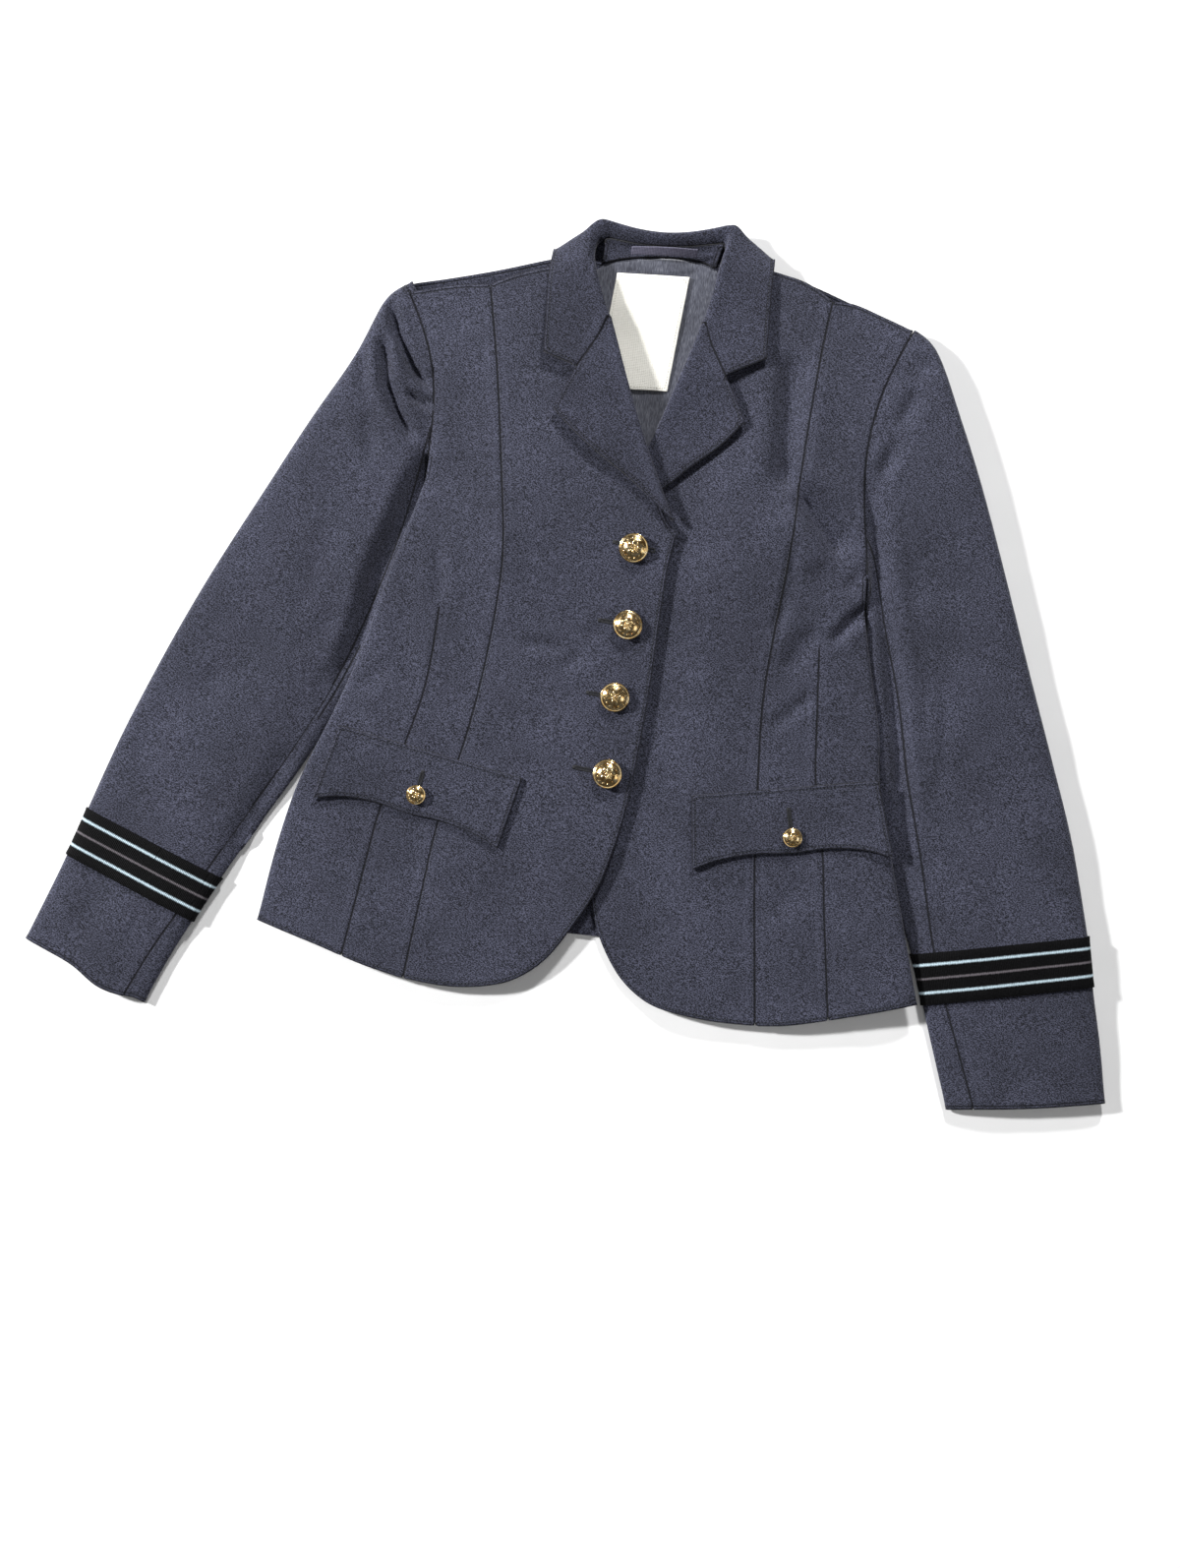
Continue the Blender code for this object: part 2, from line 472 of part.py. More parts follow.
def add_object(name, points, faces, finish):
    mesh = bpy.data.meshes.new(name)
    mesh.from_pydata([tuple(point) for point in points], [], [tuple(face) for face in faces])
    mesh.validate()
    mesh.shade_smooth()
    mesh.set_sharp_from_angle(angle=math.radians(40))
    mesh.materials.append(material(finish))
    made = bpy.data.objects.new(name, mesh)
    bpy.context.scene.collection.objects.link(made)
    return made


def add_wall(name, points, faces, cloth, finish):
    """A sheet of outer-face points thickened inwards to a closed wall."""
    made = add_object(name, points, faces, finish)
    solid = made.modifiers.new("cloth", "SOLIDIFY")
    solid.thickness = cloth
    solid.offset = -1.0
    solid.use_even_offset = False
    solid.use_rim = True
    return made


def strip_faces(rows, wide, flip):
    """The four-sided faces of a grid of points, row after row."""
    faces = [(j * wide + i, j * wide + i + 1, (j + 1) * wide + i + 1, (j + 1) * wide + i)
             for j in range(rows - 1) for i in range(wide - 1)]
    return [face[::-1] for face in faces] if flip else faces


def inset(outline, distance):
    """The outline, counter-clockwise, moved inwards."""
    before = np.roll(outline, 1, axis=0)
    after = np.roll(outline, -1, axis=0)
    first = outline - before
    second = after - outline
    first /= np.linalg.norm(first, axis=1)[:, None]
    second /= np.linalg.norm(second, axis=1)[:, None]
    inward_first = np.stack([-first[:, 1], first[:, 0]], axis=1)
    inward_second = np.stack([-second[:, 1], second[:, 0]], axis=1)
    middle = inward_first + inward_second
    middle /= np.maximum(np.linalg.norm(middle, axis=1), 0.3)[:, None]
    stretch = 1 / np.maximum(0.4, (middle * inward_first).sum(axis=1))
    return outline + middle * distance * stretch[:, None]


def signed_area(outline):
    after = np.roll(outline, -1, axis=0)
    return 0.5 * float((outline[:, 0] * after[:, 1] - outline[:, 1] * after[:, 0]).sum())


def contains(outline, point):
    start = outline
    end = np.roll(outline, -1, axis=0)
    crosses = (start[:, 1] > point[1]) != (end[:, 1] > point[1])
    if not crosses.any():
        return False
    a, b = start[crosses], end[crosses]
    at = a[:, 0] + (point[1] - a[:, 1]) / (b[:, 1] - a[:, 1]) * (b[:, 0] - a[:, 0])
    return bool((at > point[0]).sum() % 2)


def distance_to(outline, point):
    start = outline
    run = np.roll(outline, -1, axis=0) - start
    share = ((point - start) * run).sum(axis=1) / np.maximum(1e-12, (run * run).sum(axis=1))
    nearest = start + run * np.clip(share, 0, 1)[:, None]
    return float(np.linalg.norm(nearest - point, axis=1).min())


def net(outline, spacing, columns=()):
    """Triangles that fill an outline: (points, faces). Columns are x values that get a row of points."""
    outline = np.array(outline, float)
    if signed_area(outline) < 0:
        outline = outline[::-1]
    outline = inset(outline, SEAM_GAP / 2)
    low, high = outline.min(axis=0), outline.max(axis=0)
    across = [x for x in np.arange(low[0] + spacing / 2, high[0], spacing)
              if all(abs(x - column) > spacing * COLUMN_NEAR for column in columns)]
    inside = []
    for i, x in enumerate(sorted([*across, *columns])):
        stagger = spacing / 2 if i % 2 and x not in columns else 0.0
        clear = spacing * (COLUMN_CLEAR if x in columns else INSIDE_CLEAR)
        for y in np.arange(low[1] + stagger, high[1], spacing):
            point = np.array((x, y))
            if contains(outline, point) and distance_to(outline, point) > clear:
                inside.append(Vector(point))
    rim = [Vector(point) for point in outline]
    points, _, faces, *_ = delaunay_2d_cdt(rim + inside, [], [list(range(len(rim)))], 1, NET_MERGE)
    return [tuple(point) for point in points], [tuple(face) for face in faces]


def add_panel(name, outline, spacing, place, finish, cloth=CLOTH, columns=(), flip=False):
    """A cloth panel: its outline is in the panel's own flat measure, which place() turns into x, y, z."""
    flat, faces = net(outline, spacing, columns)
    if flip:
        faces = [face[::-1] for face in faces]
    return add_wall(name, [place(*point) for point in flat], faces, cloth, finish)


# ---------------------------------------------------------------- body

def seam(rows, step):
    """A seam from its rows of (y, x), as (x, y) points from the top down."""
    return [(x, y) for y, x in through(rows, step)]


def shoulder_seam(side, start, end, step):
    """The front's shoulder seam between two x values."""
    count = max(2, round(abs(end - start) / step))
    xs = np.linspace(start, end, count + 1)
    return [(float(x), SHOULDER_Y[side](x) - SHOULDER_SEAM_DROP[side]) for x in xs]


def roll_run(side, top, bottom, away, step):
    """Points along the roll line, moved away from the neck opening."""
    count = round((top - bottom) / step)
    return [(ROLL_X[side](y) + SIDES[side] * away, float(y)) for y in np.linspace(top, bottom, count + 1)]


def add_front(side):
    """The centre front, from the princess seam to the front edge and, above the break, to the lapel's roll."""
    princess = seam(PRINCESS[side], FRONT_STEP)
    edge = [tuple(point) for point in through(FRONT_EDGE[side], FRONT_STEP)]
    shoulder = shoulder_seam(side, princess[0][0], NECK_SIDE[side], FRONT_STEP)
    fold_y = COLLAR_FRONT[side][0][0]
    clear = SIDES[side] * (LAPEL_ROLL + ROLL_ROOM + COLLAR_ROOM)
    bend = (NECK_SIDE[side] - SIDES[side] * NECK_BEND["in"], NECK_BEND["y"])
    end = (ROLL_X[side](fold_y) + clear, fold_y + NECK_BEND["end"])
    neck = through((shoulder[-1], bend, end), FRONT_STEP)
    roll = roll_run(side, fold_y - COLLAR_ROOM_Y, ROLL_END_Y, LAPEL_ROLL + ROLL_ROOM, FRONT_STEP)
    outline = [*princess[::-1], *shoulder[1:], *[tuple(p) for p in neck[1:]], *roll, *edge[:-1]]
    return add_panel("front_" + side, outline, FRONT_NET, lambda x, y: (x, y, panel_height(side, x, y)),
                     "wool_barathea")


def back_seam_rows(side):
    """The back seam's rows of (y, x); it starts at the armhole."""
    sign = SIDES[side]
    armhole = by_y([(y, x) for x, y in ARMHOLE[side]])
    first = BACK_SEAM[0][0]
    return [(first, armhole(first)), *[(y, sign * x) for y, x in BACK_SEAM[1:]]]


def wrap_measure(side, x, y, under=False):
    """Distance from the side fold along the cloth, positive on top and negative underneath."""
    inboard = abs(side_line(side, y)) - abs(x)
    if inboard >= SIDE_ROLL:
        along = SIDE_ROLL * QUARTER + inboard - SIDE_ROLL
    else:
        along = SIDE_ROLL * QUARTER * math.acos(1 - max(0.0, inboard) / SIDE_ROLL) / (math.pi / 2)
    return (-along if under else along), y


def wrap_place(side, along, y):
    """x, y, z of the body's outer face from its distance along the cloth from the side fold."""
    quarter = SIDE_ROLL * QUARTER
    sign = SIDES[side]
    fold = side_line(side, y)
    inboard = SIDE_ROLL + max(0.0, abs(along) - quarter)
    x = fold - sign * inboard
    low, high = back_height(x, y), panel_height(side, x, y)
    share, z = rolled(low, high, 90 * along / quarter)
    if abs(along) < quarter:
        x = fold - sign * SIDE_ROLL * share
    return x, y, z


def add_side(side):
    """The side body: from the princess seam round the side fold to the back seam, its dart open as a slit."""
    step = FRONT_STEP
    sign = SIDES[side]
    princess = [wrap_measure(side, x, y) for x, y in seam(PRINCESS[side], step)]
    top = seam(PRINCESS[side], step)[0]
    shoulder = [wrap_measure(side, x, y) for x, y in shoulder_seam(side, top[0], ARMHOLE[side][1][0], step)]
    front_armhole = [wrap_measure(side, x, y) for x, y in through(ARMHOLE[side][1:], step)]
    back_seam = seam(back_seam_rows(side), step)
    lowest = back_seam[0][1] - step / 2
    under_armhole = [(x, y) for x, y in through(ARMHOLE[side][1:], step)[::-1] if y < lowest]
    under = [wrap_measure(side, x, y, True) for x, y in under_armhole[1:]]
    back = [wrap_measure(side, x + sign * BACK_SEAM_ROOM, y, True) for x, y in back_seam]
    hem_top = through(SIDE_HEM[side], step)
    corner = wrap_measure(side, *hem_top[-1])
    under_hem = (hem_top[-1], *[(sign * x, y) for x, y in UNDER_HEM])
    back_hem = [wrap_measure(side, x, y, True) for x, y in through(under_hem, step)]
    dart = seam(DART[side], step)
    slit = [(wrap_measure(side, x, y)[0], y) for x, y in dart]
    half = SLIT_HALF
    hem = [wrap_measure(side, x, y) for x, y in hem_top[:-1]]
    nearest = min(range(len(hem)), key=lambda i: abs(hem[i][0] - slit[-1][0]))
    slit[-1] = hem[nearest]
    inner = [(along + half, y) for along, y in slit[::-1][:-1]]
    outer = [(along - half, y) for along, y in slit[1:]]
    outline = [*princess[::-1], *shoulder[1:], *front_armhole[1:], *under, *back, *back_hem[::-1][1:-1], corner,
               *hem[::-1][:len(hem) - 1 - nearest], *outer[::-1], slit[0], *inner[::-1], *hem[1:nearest][::-1]]
    quarter = SIDE_ROLL * QUARTER
    columns = [quarter * share for share in (-1.0, -0.5, 0.0, 0.5, 1.0)]
    return add_panel("side_" + side, outline, FRONT_NET, lambda along, y: wrap_place(side, along, y),
                     "wool_barathea", columns=columns, flip=side == "left")


def shoulder_turn(side):
    """The turn, in degrees, at which the back meets the front's shoulder seam."""
    return math.degrees(math.asin(min(1.0, SHOULDER_SEAM_DROP[side] / SHOULDER_ROLL - 1)))


def back_measure(side, x, turn):
    """How far up the cloth of the back a point of the shoulder roll lies: -90 underneath, 90 on top."""
    return SHOULDER_Y[side](x) - SHOULDER_ROLL + SHOULDER_ROLL * QUARTER * (turn + 90) / 90


def back_place(x, along):
    side = side_of(x)
    start = SHOULDER_Y[side](x) - SHOULDER_ROLL
    if along <= start or abs(x) < NECK_HALF:
        return x, along, back_height(x, along)
    turn = 90 * (along - start) / (SHOULDER_ROLL * QUARTER) - 90
    low, high = back_height(x, start), panel_height(side, x, start)
    share, z = rolled(low, high, turn)
    return x, start + SHOULDER_ROLL * (1 - share), z


def add_back():
    """The back, in one piece, rolled over the shoulders to the fronts' shoulder seams."""
    step = FRONT_NET
    outline = []
    for side in ("left", "right"):
        peak, tip = ARMHOLE[side][:2]
        armhole = [tuple(p) for p in through(ARMHOLE[side][1:], step)]
        back_seam = seam(back_seam_rows(side), step)
        side_armhole = [point for point in armhole[::-1] if point[1] > back_seam[0][1] + step / 2]
        turn_end = shoulder_turn(side)
        tip_x = tip[0]
        turns = [turn for turn in (-45, 0, 45) if turn < turn_end - ROLL_TURN_LEFT]
        up = [(tip_x + (peak[0] - tip_x) * math.cos(math.radians(turn)), back_measure(side, tip_x, turn))
              for turn in (-90, *turns)]
        fronts_seam = shoulder_seam(side, tip_x, NECK_SIDE[side], step)
        along_seam = [(x, back_measure(side, x, turn_end)) for x, _ in fronts_seam]
        down = [(NECK_SIDE[side], back_measure(side, NECK_SIDE[side], turn)) for turn in turns[::-1]]
        neck_y = SHOULDER_Y[side](SIDES[side] * BACK_NECK["at"]) - SHOULDER_ROLL
        low_neck = (SIDES[side] * BACK_NECK["x"], neck_y)
        below_roll = back_measure(side, tip_x, -90) - ROLL_CLEAR
        half = [*back_seam[::-1], *[point for point in side_armhole if point[1] < below_roll],
                *up, *along_seam, *down, low_neck]
        outline += half if side == "left" else half[::-1]
    hem = [(x, BACK_HEM_Y) for x in np.linspace(-BACK_HEM_HALF, BACK_HEM_HALF, 11)]
    outline += hem
    return add_panel("back", outline, BACK_NET, back_place, "wool_barathea", flip=True)


# ---------------------------------------------------------------- lapels and collar

def edge_stand(side, away, y):
    """How much the lapel and the collar's end stand off the front, away from the roll and round the notch."""
    low = ease((y - STAND_LOW["from"]) / STAND_LOW["over"])
    high = 1 - (1 - STAND_HIGH["left"]) * ease((y - STAND_HIGH["from"]) / STAND_HIGH["over"])
    return EDGE_STAND[side] * ease(away / STAND_AWAY) * low * high


def lapel_top(side, x, y):
    """The outer face of a lapel where it lies on the front; it stands up towards the roll."""
    away = max(LAPEL_ROLL, abs(x - ROLL_X[side](y)))
    rise = ROLL_RISE * math.exp(-away / ROLL_REACH)
    if side == "left":
        rise *= LEFT_ROLL_SHARE + (1 - LEFT_ROLL_SHARE) * ease((y - LEFT_ROLL["from"]) / LEFT_ROLL["over"])
    return panel_height(side, x, y) + LAYER + rise + edge_stand(side, away, y)


def gorge_run(side):
    """The lapel's edge along the gorge: the collar's first section, moved off it by the seam's gap."""
    fold_y, notch, _ = COLLAR_FRONT[side][0]
    sign = SIDES[side]
    fold = np.array((ROLL_X[side](fold_y), fold_y))
    run = np.array(notch) - fold
    off = np.array((run[1], -run[0])) * sign / np.linalg.norm(run) * GORGE_GAP
    near = np.array((fold[0] + sign * (LAPEL_ROLL + GORGE_GAP / 2), fold_y - GORGE_GAP))
    return [tuple(near), *[tuple(fold + run * share + off) for share in GORGE_SHARES]]


def lapel_rows(side):
    """Pairs of a roll line's y and the outer edge's point that it runs out to, from the gorge to the break."""
    gorge = gorge_run(side)
    corner = LAPEL[side][2]
    top = through((gorge[-1], LAPEL[side][1], corner), LAPEL_STEP)
    lower = through(LAPEL[side][2:], LAPEL_STEP)
    edge = [*gorge, *[tuple(p) for p in top[1:]], *[tuple(p) for p in lower[1:]]]
    marks = (0, len(gorge) - 1, len(gorge) + len(top) - 2, len(edge) - 1)
    first, last = gorge[0][1], lower[-1][1]
    shares = [float(np.interp(i, marks, LAPEL_SHARES)) for i in range(len(edge))]
    return [(first + (last - first) * share, point) for share, point in zip(shares, edge)]


def add_lapel(side):
    """The lapel, rolled out of the neck opening on to the front; its under edge meets the front's roll edge."""
    sign = SIDES[side]
    points = []
    rows = lapel_rows(side)
    for y, edge in rows:
        fold = ROLL_X[side](y)
        wide = min(1.0, abs(edge[0] - fold) / (LAPEL_ROLL * FOLD_WIDTH))
        under = UNDER_TURN["least"] + (1 - UNDER_TURN["least"]) * ease((y - rows[-1][0]) / UNDER_TURN["over"])
        high = lapel_top(side, fold + sign * LAPEL_ROLL, y)
        low = panel_height(side, fold + sign * LAPEL_ROLL, y) - CLOTH
        for turn in (-90 * under, -45 * under, 0, 45, 90):
            share, z = rolled(low, high, turn)
            points.append((fold + sign * LAPEL_ROLL * share * (wide if turn > 0 else 1.0), y, z))
        start = points[-1]
        for share in LAPEL_ACROSS:
            x, across = (start[i] + (edge[i] - start[i]) * share for i in (0, 1))
            points.append((x, across, lapel_top(side, x, across)))
    wide = len(points) // len(rows)
    faces = strip_faces(len(rows), wide, side == "left")
    return add_wall("lapel_" + side, points, faces, CLOTH, "lapel_barathea")


def collar_front_row(side, fold_y, notch, edge):
    """One section of the collar on the front: under the roll, the fold, and out to the edge."""
    sign = SIDES[side]
    fold = (ROLL_X[side](fold_y), fold_y)
    points = []
    lift = LAYER + COLLAR_LIFT
    for turn in (-90, 0, 90):
        x = fold[0] + sign * LAPEL_ROLL * (1 - math.cos(math.radians(turn)))
        base = panel_height(side, fold[0] + sign * LAPEL_ROLL, fold[1])
        points.append((x, fold[1], rolled(base - CLOTH, base + lift + ROLL_RISE, turn)[1]))
    for share, start, end in ((0.35, fold, notch), (0.68, fold, notch), (1.0, fold, notch), (0.5, notch, edge),
                              (1.0, notch, edge)):
        x = start[0] + (end[0] - start[0]) * share
        y = start[1] + (end[1] - start[1]) * share
        away = abs(x - fold[0])
        rise = ROLL_RISE * math.exp(-away / ROLL_REACH) + edge_stand(side, away, y)
        points.append((x, y, panel_height(side, x, y) + lift + rise))
    return points


def collar_back_row(sign, keys):
    """One section of the collar behind the neck, from its keys: two more points lie between the last three."""
    keys = [Vector((sign * x, y + COLLAR_TILT * sign * x, z)) for x, y, z in keys]
    base, fold, past, heel, middle, edge = keys
    return [tuple(p) for p in (base, fold, past, heel, (heel + middle) / 2, middle, (middle + edge) / 2, edge)]


def add_collar():
    """The collar's fall: on the fronts, rolled over the shoulders and flat under the back neck."""
    rows = [collar_front_row("right", *row) for row in COLLAR_FRONT["right"]]
    rows += [collar_back_row(-1, keys) for keys in COLLAR_BACK]
    rows += [collar_back_row(1, keys) for keys in COLLAR_BACK[-2::-1]]
    rows += [collar_front_row("left", *row) for row in COLLAR_FRONT["left"][::-1]]
    smooth = between(rows, COLLAR_STEPS)
    smooth[:, :, 2] = np.maximum(smooth[:, :, 2], 0.0)
    count, wide = smooth.shape[:2]
    points = smooth.reshape(-1, 3)
    return add_wall("collar", points, strip_faces(count, wide, True), CLOTH, "lapel_barathea")


def add_stand():
    """The collar stand, from the collar's fold down to the neck seam, where it shows inside the neck."""
    tops = [collar_back_row(-1, keys)[0] for keys in COLLAR_BACK]
    tops += [collar_back_row(1, keys)[0] for keys in COLLAR_BACK[-2::-1]]
    top = through(tops, STAND_STEP)
    low = through(STAND_SEAM, STAND_STEP)
    rows = []
    for share in np.linspace(0, 1, STAND_ROWS):
        start, end = (np.array([float(np.interp(share * (len(curve) - 1), range(len(curve)), curve[:, axis]))
                                for axis in range(3)]) for curve in (low, top))
        end = end + (start - end) * STAND_SHORT
        middle = (start + end) / 2 - np.array((0, 0, STAND_HOLLOW))
        rows += [start, middle, end]
    return add_wall("collar_stand", rows, strip_faces(STAND_ROWS, 3, True), CLOTH, "lapel_barathea")


# ---------------------------------------------------------------- sleeves

def along_curve(points):
    """A point of a curve as a function of the share of its length."""
    curve = through(points, 0.004)
    lengths = np.concatenate([[0.0], np.cumsum(np.linalg.norm(np.diff(curve, axis=0), axis=1))])
    lengths /= lengths[-1]
    return lambda share: np.array([np.interp(share, lengths, curve[:, axis]) for axis in range(2)])


ARMHOLE_AT = {side: along_curve(points) for side, points in ARMHOLE.items()}


def sleeve_sections(side):
    """The sleeve's rows made smooth: outer edge, inner edge, bow, seam share and thickness, as one array."""
    rows = [[*outer, *inner, bow, seam_at, thick] for outer, inner, bow, seam_at, thick in SLEEVES[side]]
    return between(rows, SLEEVE_STEPS)


def sleeve_point(side, section, row_share, share, turn, floor):
    """A point of the sleeve's outer face: its share of the width from the outer edge, over (+1) or under."""
    outer, inner = section[0:2], section[2:4]
    thick = section[6]
    width = float(np.linalg.norm(inner - outer))
    over = np.array((-(inner - outer)[1], (inner - outer)[0])) / width
    if over[0] * SIDES[side] > 0:
        over = -over
    tip, underarm = (np.array(ARMHOLE[side][i]) for i in (0, -1))
    curve = ARMHOLE_AT[side](share) - tip - (underarm - tip) * share
    flat = outer + (inner - outer) * share + curve * section[4] - over * ARMHOLE_CLEAR
    dip = HEM_DIP[side]
    dipped = ease((row_share - HEM_DIP_FROM) / (1 - HEM_DIP_FROM))
    dipped = dipped * ease(1 - abs(share - dip["at"]) / dip["half"])
    flat = flat - over * dip["deep"] * dipped
    inner_thin = ease((1 - share) / INNER_REACH)
    thin = INNER_FLAT + (thick - INNER_FLAT) * inner_thin
    roll = SLEEVE_ROLL / width
    near = min(share, 1 - share)
    round_off = math.sqrt(max(0.0, 1 - (1 - min(1.0, near / roll)) ** 2))
    height = thin * (1 + turn * round_off) / 2
    if turn > 0 and row_share < HEAD_BLEND:
        at_armhole = panel_height(side, *(flat + over * HEAD_REACH))
        blend = (1 - ease(row_share / HEAD_BLEND)) * ease((1 - share) / HEAD_INNER) * ease(share / HEAD_OUTER)
        height += (at_armhole - height) * blend
    return flat[0], flat[1], floor + height


def sleeve_ring(side, section, row_share, floor):
    """The ring of one section in two runs: the top sleeve's points and the under sleeve's."""
    width = float(np.linalg.norm(section[2:4] - section[0:2]))
    roll = SLEEVE_ROLL / width
    seam_at = section[5]
    gap = SLEEVE_SEAM_GAP / 2 / width
    over = [roll * (1 - math.cos(math.radians(turn))) for turn in (40, 90)]
    wide = [UNDER_SEAM - gap, *over[::-1]]
    beside = SEAM_SIDE / width
    run = [*np.linspace(over[-1], seam_at - gap - beside, SLEEVE_HOLLOW_SIDES + 1)[1:], seam_at - gap]
    top = [(share, -1) for share in wide] + [(0.0, 0)]
    top += [(share, 1) for share in over] + [(float(share), 1) for share in run]
    inner = [1 - share for share in over]
    near = [seam_at + gap, seam_at + gap + beside]
    if inner[-1] - near[-1] > 2 * beside:
        near.append((near[-1] + inner[-1]) / 2)
    else:
        near.append((2 * near[-1] + inner[-1]) / 3)
    back = np.linspace(inner[-1], UNDER_SEAM + gap, SLEEVE_HOLLOW_SIDES + 1)
    under = [(share, 1) for share in near] + [(share, 1) for share in inner[::-1]] + [(1.0, 0)]
    under += [(inner[0], -1)] + [(float(share), -1) for share in back]

    def place(shares):
        return [sleeve_point(side, section, row_share, share, turn, floor) for share, turn in shares]

    return place(top), place(under)


def lace_floor(row_share, start, end):
    """The sleeve is held this far off the floor where the lace passes under it."""
    near = min(ease((row_share - start) / LACE_REACH + 1), ease((end - row_share) / LACE_REACH + 1))
    return (LACE_CLOTH + SEAM_GAP) * near


def add_sleeve(side):
    """The top sleeve and the under sleeve, a flattened tube split along its two seams."""
    sections = sleeve_sections(side)
    count = len(sections)
    start, end = (row * SLEEVE_STEPS / (count - 1) for row in LACE_ROWS)
    tops, unders = [], []
    for i, section in enumerate(sections):
        share = i / (count - 1)
        top, under = sleeve_ring(side, section, share, lace_floor(share, start, end))
        tops.append(top)
        unders.append(under)
    flip = side == "right"
    for name, rings in (("sleeve_top_", tops), ("sleeve_under_", unders)):
        wide = len(rings[0])
        points = [point for ring in rings for point in ring]
        add_wall(name + side, points, strip_faces(count, wide, flip), CLOTH, "wool_barathea")


def add_lace(side):
    """The band of lace round the cuff: the sleeve's own rings moved out, and closed to a loop."""
    sections = sleeve_sections(side)
    count = len(sections)
    first, last = (row * SLEEVE_STEPS for row in LACE_ROWS)
    rings = []
    for i in range(first, last + 1):
        share = i / (count - 1)
        top, under = sleeve_ring(side, sections[i], share, LACE_CLOTH + SEAM_GAP)
        ring = np.array(top + under[1:])
        centre = ring.mean(axis=0)
        before = np.roll(ring, 1, axis=0)
        after = np.roll(ring, -1, axis=0)
        along = after - before
        outward = np.cross(along, np.array((*(sections[i][2:4] - sections[i][0:2])[::-1] * (1, -1), 0)))
        outward /= np.linalg.norm(outward, axis=1)[:, None]
        if ((ring - centre) * outward).sum() < 0:
            outward = -outward
        rings.append(ring + outward * (LACE_CLOTH + SEAM_GAP * LACE_OFF))
    wide = len(rings[0])
    points = [tuple(p) for ring in rings for p in ring]
    faces = [(j * wide + i, j * wide + (i + 1) % wide, (j + 1) * wide + (i + 1) % wide, (j + 1) * wide + i)
             for j in range(len(rings) - 1) for i in range(wide)]
    if side == "right":
        faces = [face[::-1] for face in faces]
    return add_wall("cuff_lace_" + side, points, faces, LACE_CLOTH, "cuff_lace")


# ---------------------------------------------------------------- flaps, buttons and the inside of the neck

def flap_outline(side, step):
    """The flap's outline in x and y: a straight top, flared ends and two arcs that meet in a point below."""
    flap = FLAPS[side]
    inner, outer = np.array(flap["inner"]), np.array(flap["outer"])
    run = outer - inner
    length = float(np.linalg.norm(run))
    run /= length
    down = np.array((run[1], -run[0]))
    if down[1] > 0:
        down = -down
    low_start, low_end = flap["low_edge"]
    count = round(length / step)
    lower = []
    for i in range(count + 1):
        share = i / count
        corner = FLAP_CORNERS[share > 0.5] * abs(2 * share - 1) ** 4
        point = FLAP_POINT["drop"] * math.exp(-((share - 0.5) / FLAP_POINT["half"]) ** 2)
        along = low_start + (low_end - low_start) * share
        lower.append(inner + run * along + down * (FLAP_DEPTH + corner + point))
    top = [inner + run * length * share for share in np.linspace(0, 1, count)]
    inner_end = [inner + (lower[0] - inner) * share for share in (1 / 3, 2 / 3)]
    outer_end = [outer + (lower[-1] - outer) * share for share in (1 / 3, 2 / 3)]
    return [tuple(p) for p in [*inner_end, *lower, *outer_end[::-1], *top[::-1]]]


def add_flap(side):
    """The pocket flap; it lies on the front and the side body and stands a little off them at its outer end."""
    def place(x, y):
        off = FLAP_OFF * ease((abs(x) - FLAP_OFF_FROM) / FLAP_OFF_REACH)
        return x, y, panel_height(side, x, y) + FLAP_CLOTH + LAY_GAP + off
    outline = flap_outline(side, FLAP_NET * 0.8)
    return add_panel("pocket_flap_" + side, outline, FLAP_NET, place, "wool_barathea", cloth=FLAP_CLOTH)


def add_button(name, x, y, z, size):
    """A domed button with a rolled rim on a short shank, turned about its own axis, standing on the cloth."""
    radius, dome, rim = size["radius"], size["dome"], size["rim"]
    profile = [(radius * across, rim * up) for across, up in BUTTON_BACK]
    edge = rim * BUTTON_BACK[-1][1]
    for turn in DOME_TURNS:
        angle = math.radians(turn)
        profile.append((radius * DOME_SHARE * math.cos(angle), edge + (dome - rim) * math.sin(angle)))
    profile.append((0.0, edge + dome - rim))
    made = bmesh.new()
    rings = []
    for across, up in profile:
        if across == 0.0:
            rings.append([made.verts.new((0, 0, up))])
            continue
        turns = [2 * math.pi * i / BUTTON_SIDES for i in range(BUTTON_SIDES)]
        rings.append([made.verts.new((across * math.cos(t), across * math.sin(t), up)) for t in turns])
    for low, high in zip(rings, rings[1:]):
        for i in range(BUTTON_SIDES):
            j = (i + 1) % BUTTON_SIDES
            if len(low) == 1:
                made.faces.new((low[0], high[j], high[i]))
            elif len(high) == 1:
                made.faces.new((low[i], low[j], high[0]))
            else:
                made.faces.new((low[i], low[j], high[j], high[i]))
    mesh = bpy.data.meshes.new(name)
    made.to_mesh(mesh)
    made.free()
    mesh.shade_smooth()
    mesh.set_sharp_from_angle(angle=math.radians(35))
    mesh.materials.append(material("gilt_brass"))
    button = bpy.data.objects.new(name, mesh)
    button.location = (x, y, z)
    bpy.context.scene.collection.objects.link(button)
    return button


def highest_near(place_height, x, y, radius):
    offsets = (-radius * BUTTON_SEAT, 0, radius * BUTTON_SEAT)
    return max(place_height(x + a, y + b) for a in offsets for b in offsets)


def add_buttons():
    for i, (x, y) in enumerate(FRONT_BUTTONS):
        z = highest_near(lambda a, b: panel_height("right", a, b), x, y, BUTTON["radius"]) + BUTTON_CLEAR
        add_button(f"button_front_{i + 1}", x, y, z, BUTTON)
    for side, (x, y) in FLAP_BUTTONS.items():
        over = FLAP_CLOTH + LAY_GAP + BUTTON_CLEAR
        z = highest_near(lambda a, b: panel_height(side, a, b), x, y, SMALL_BUTTON["radius"]) + over
        add_button("button_flap_" + side, x, y, z, SMALL_BUTTON)


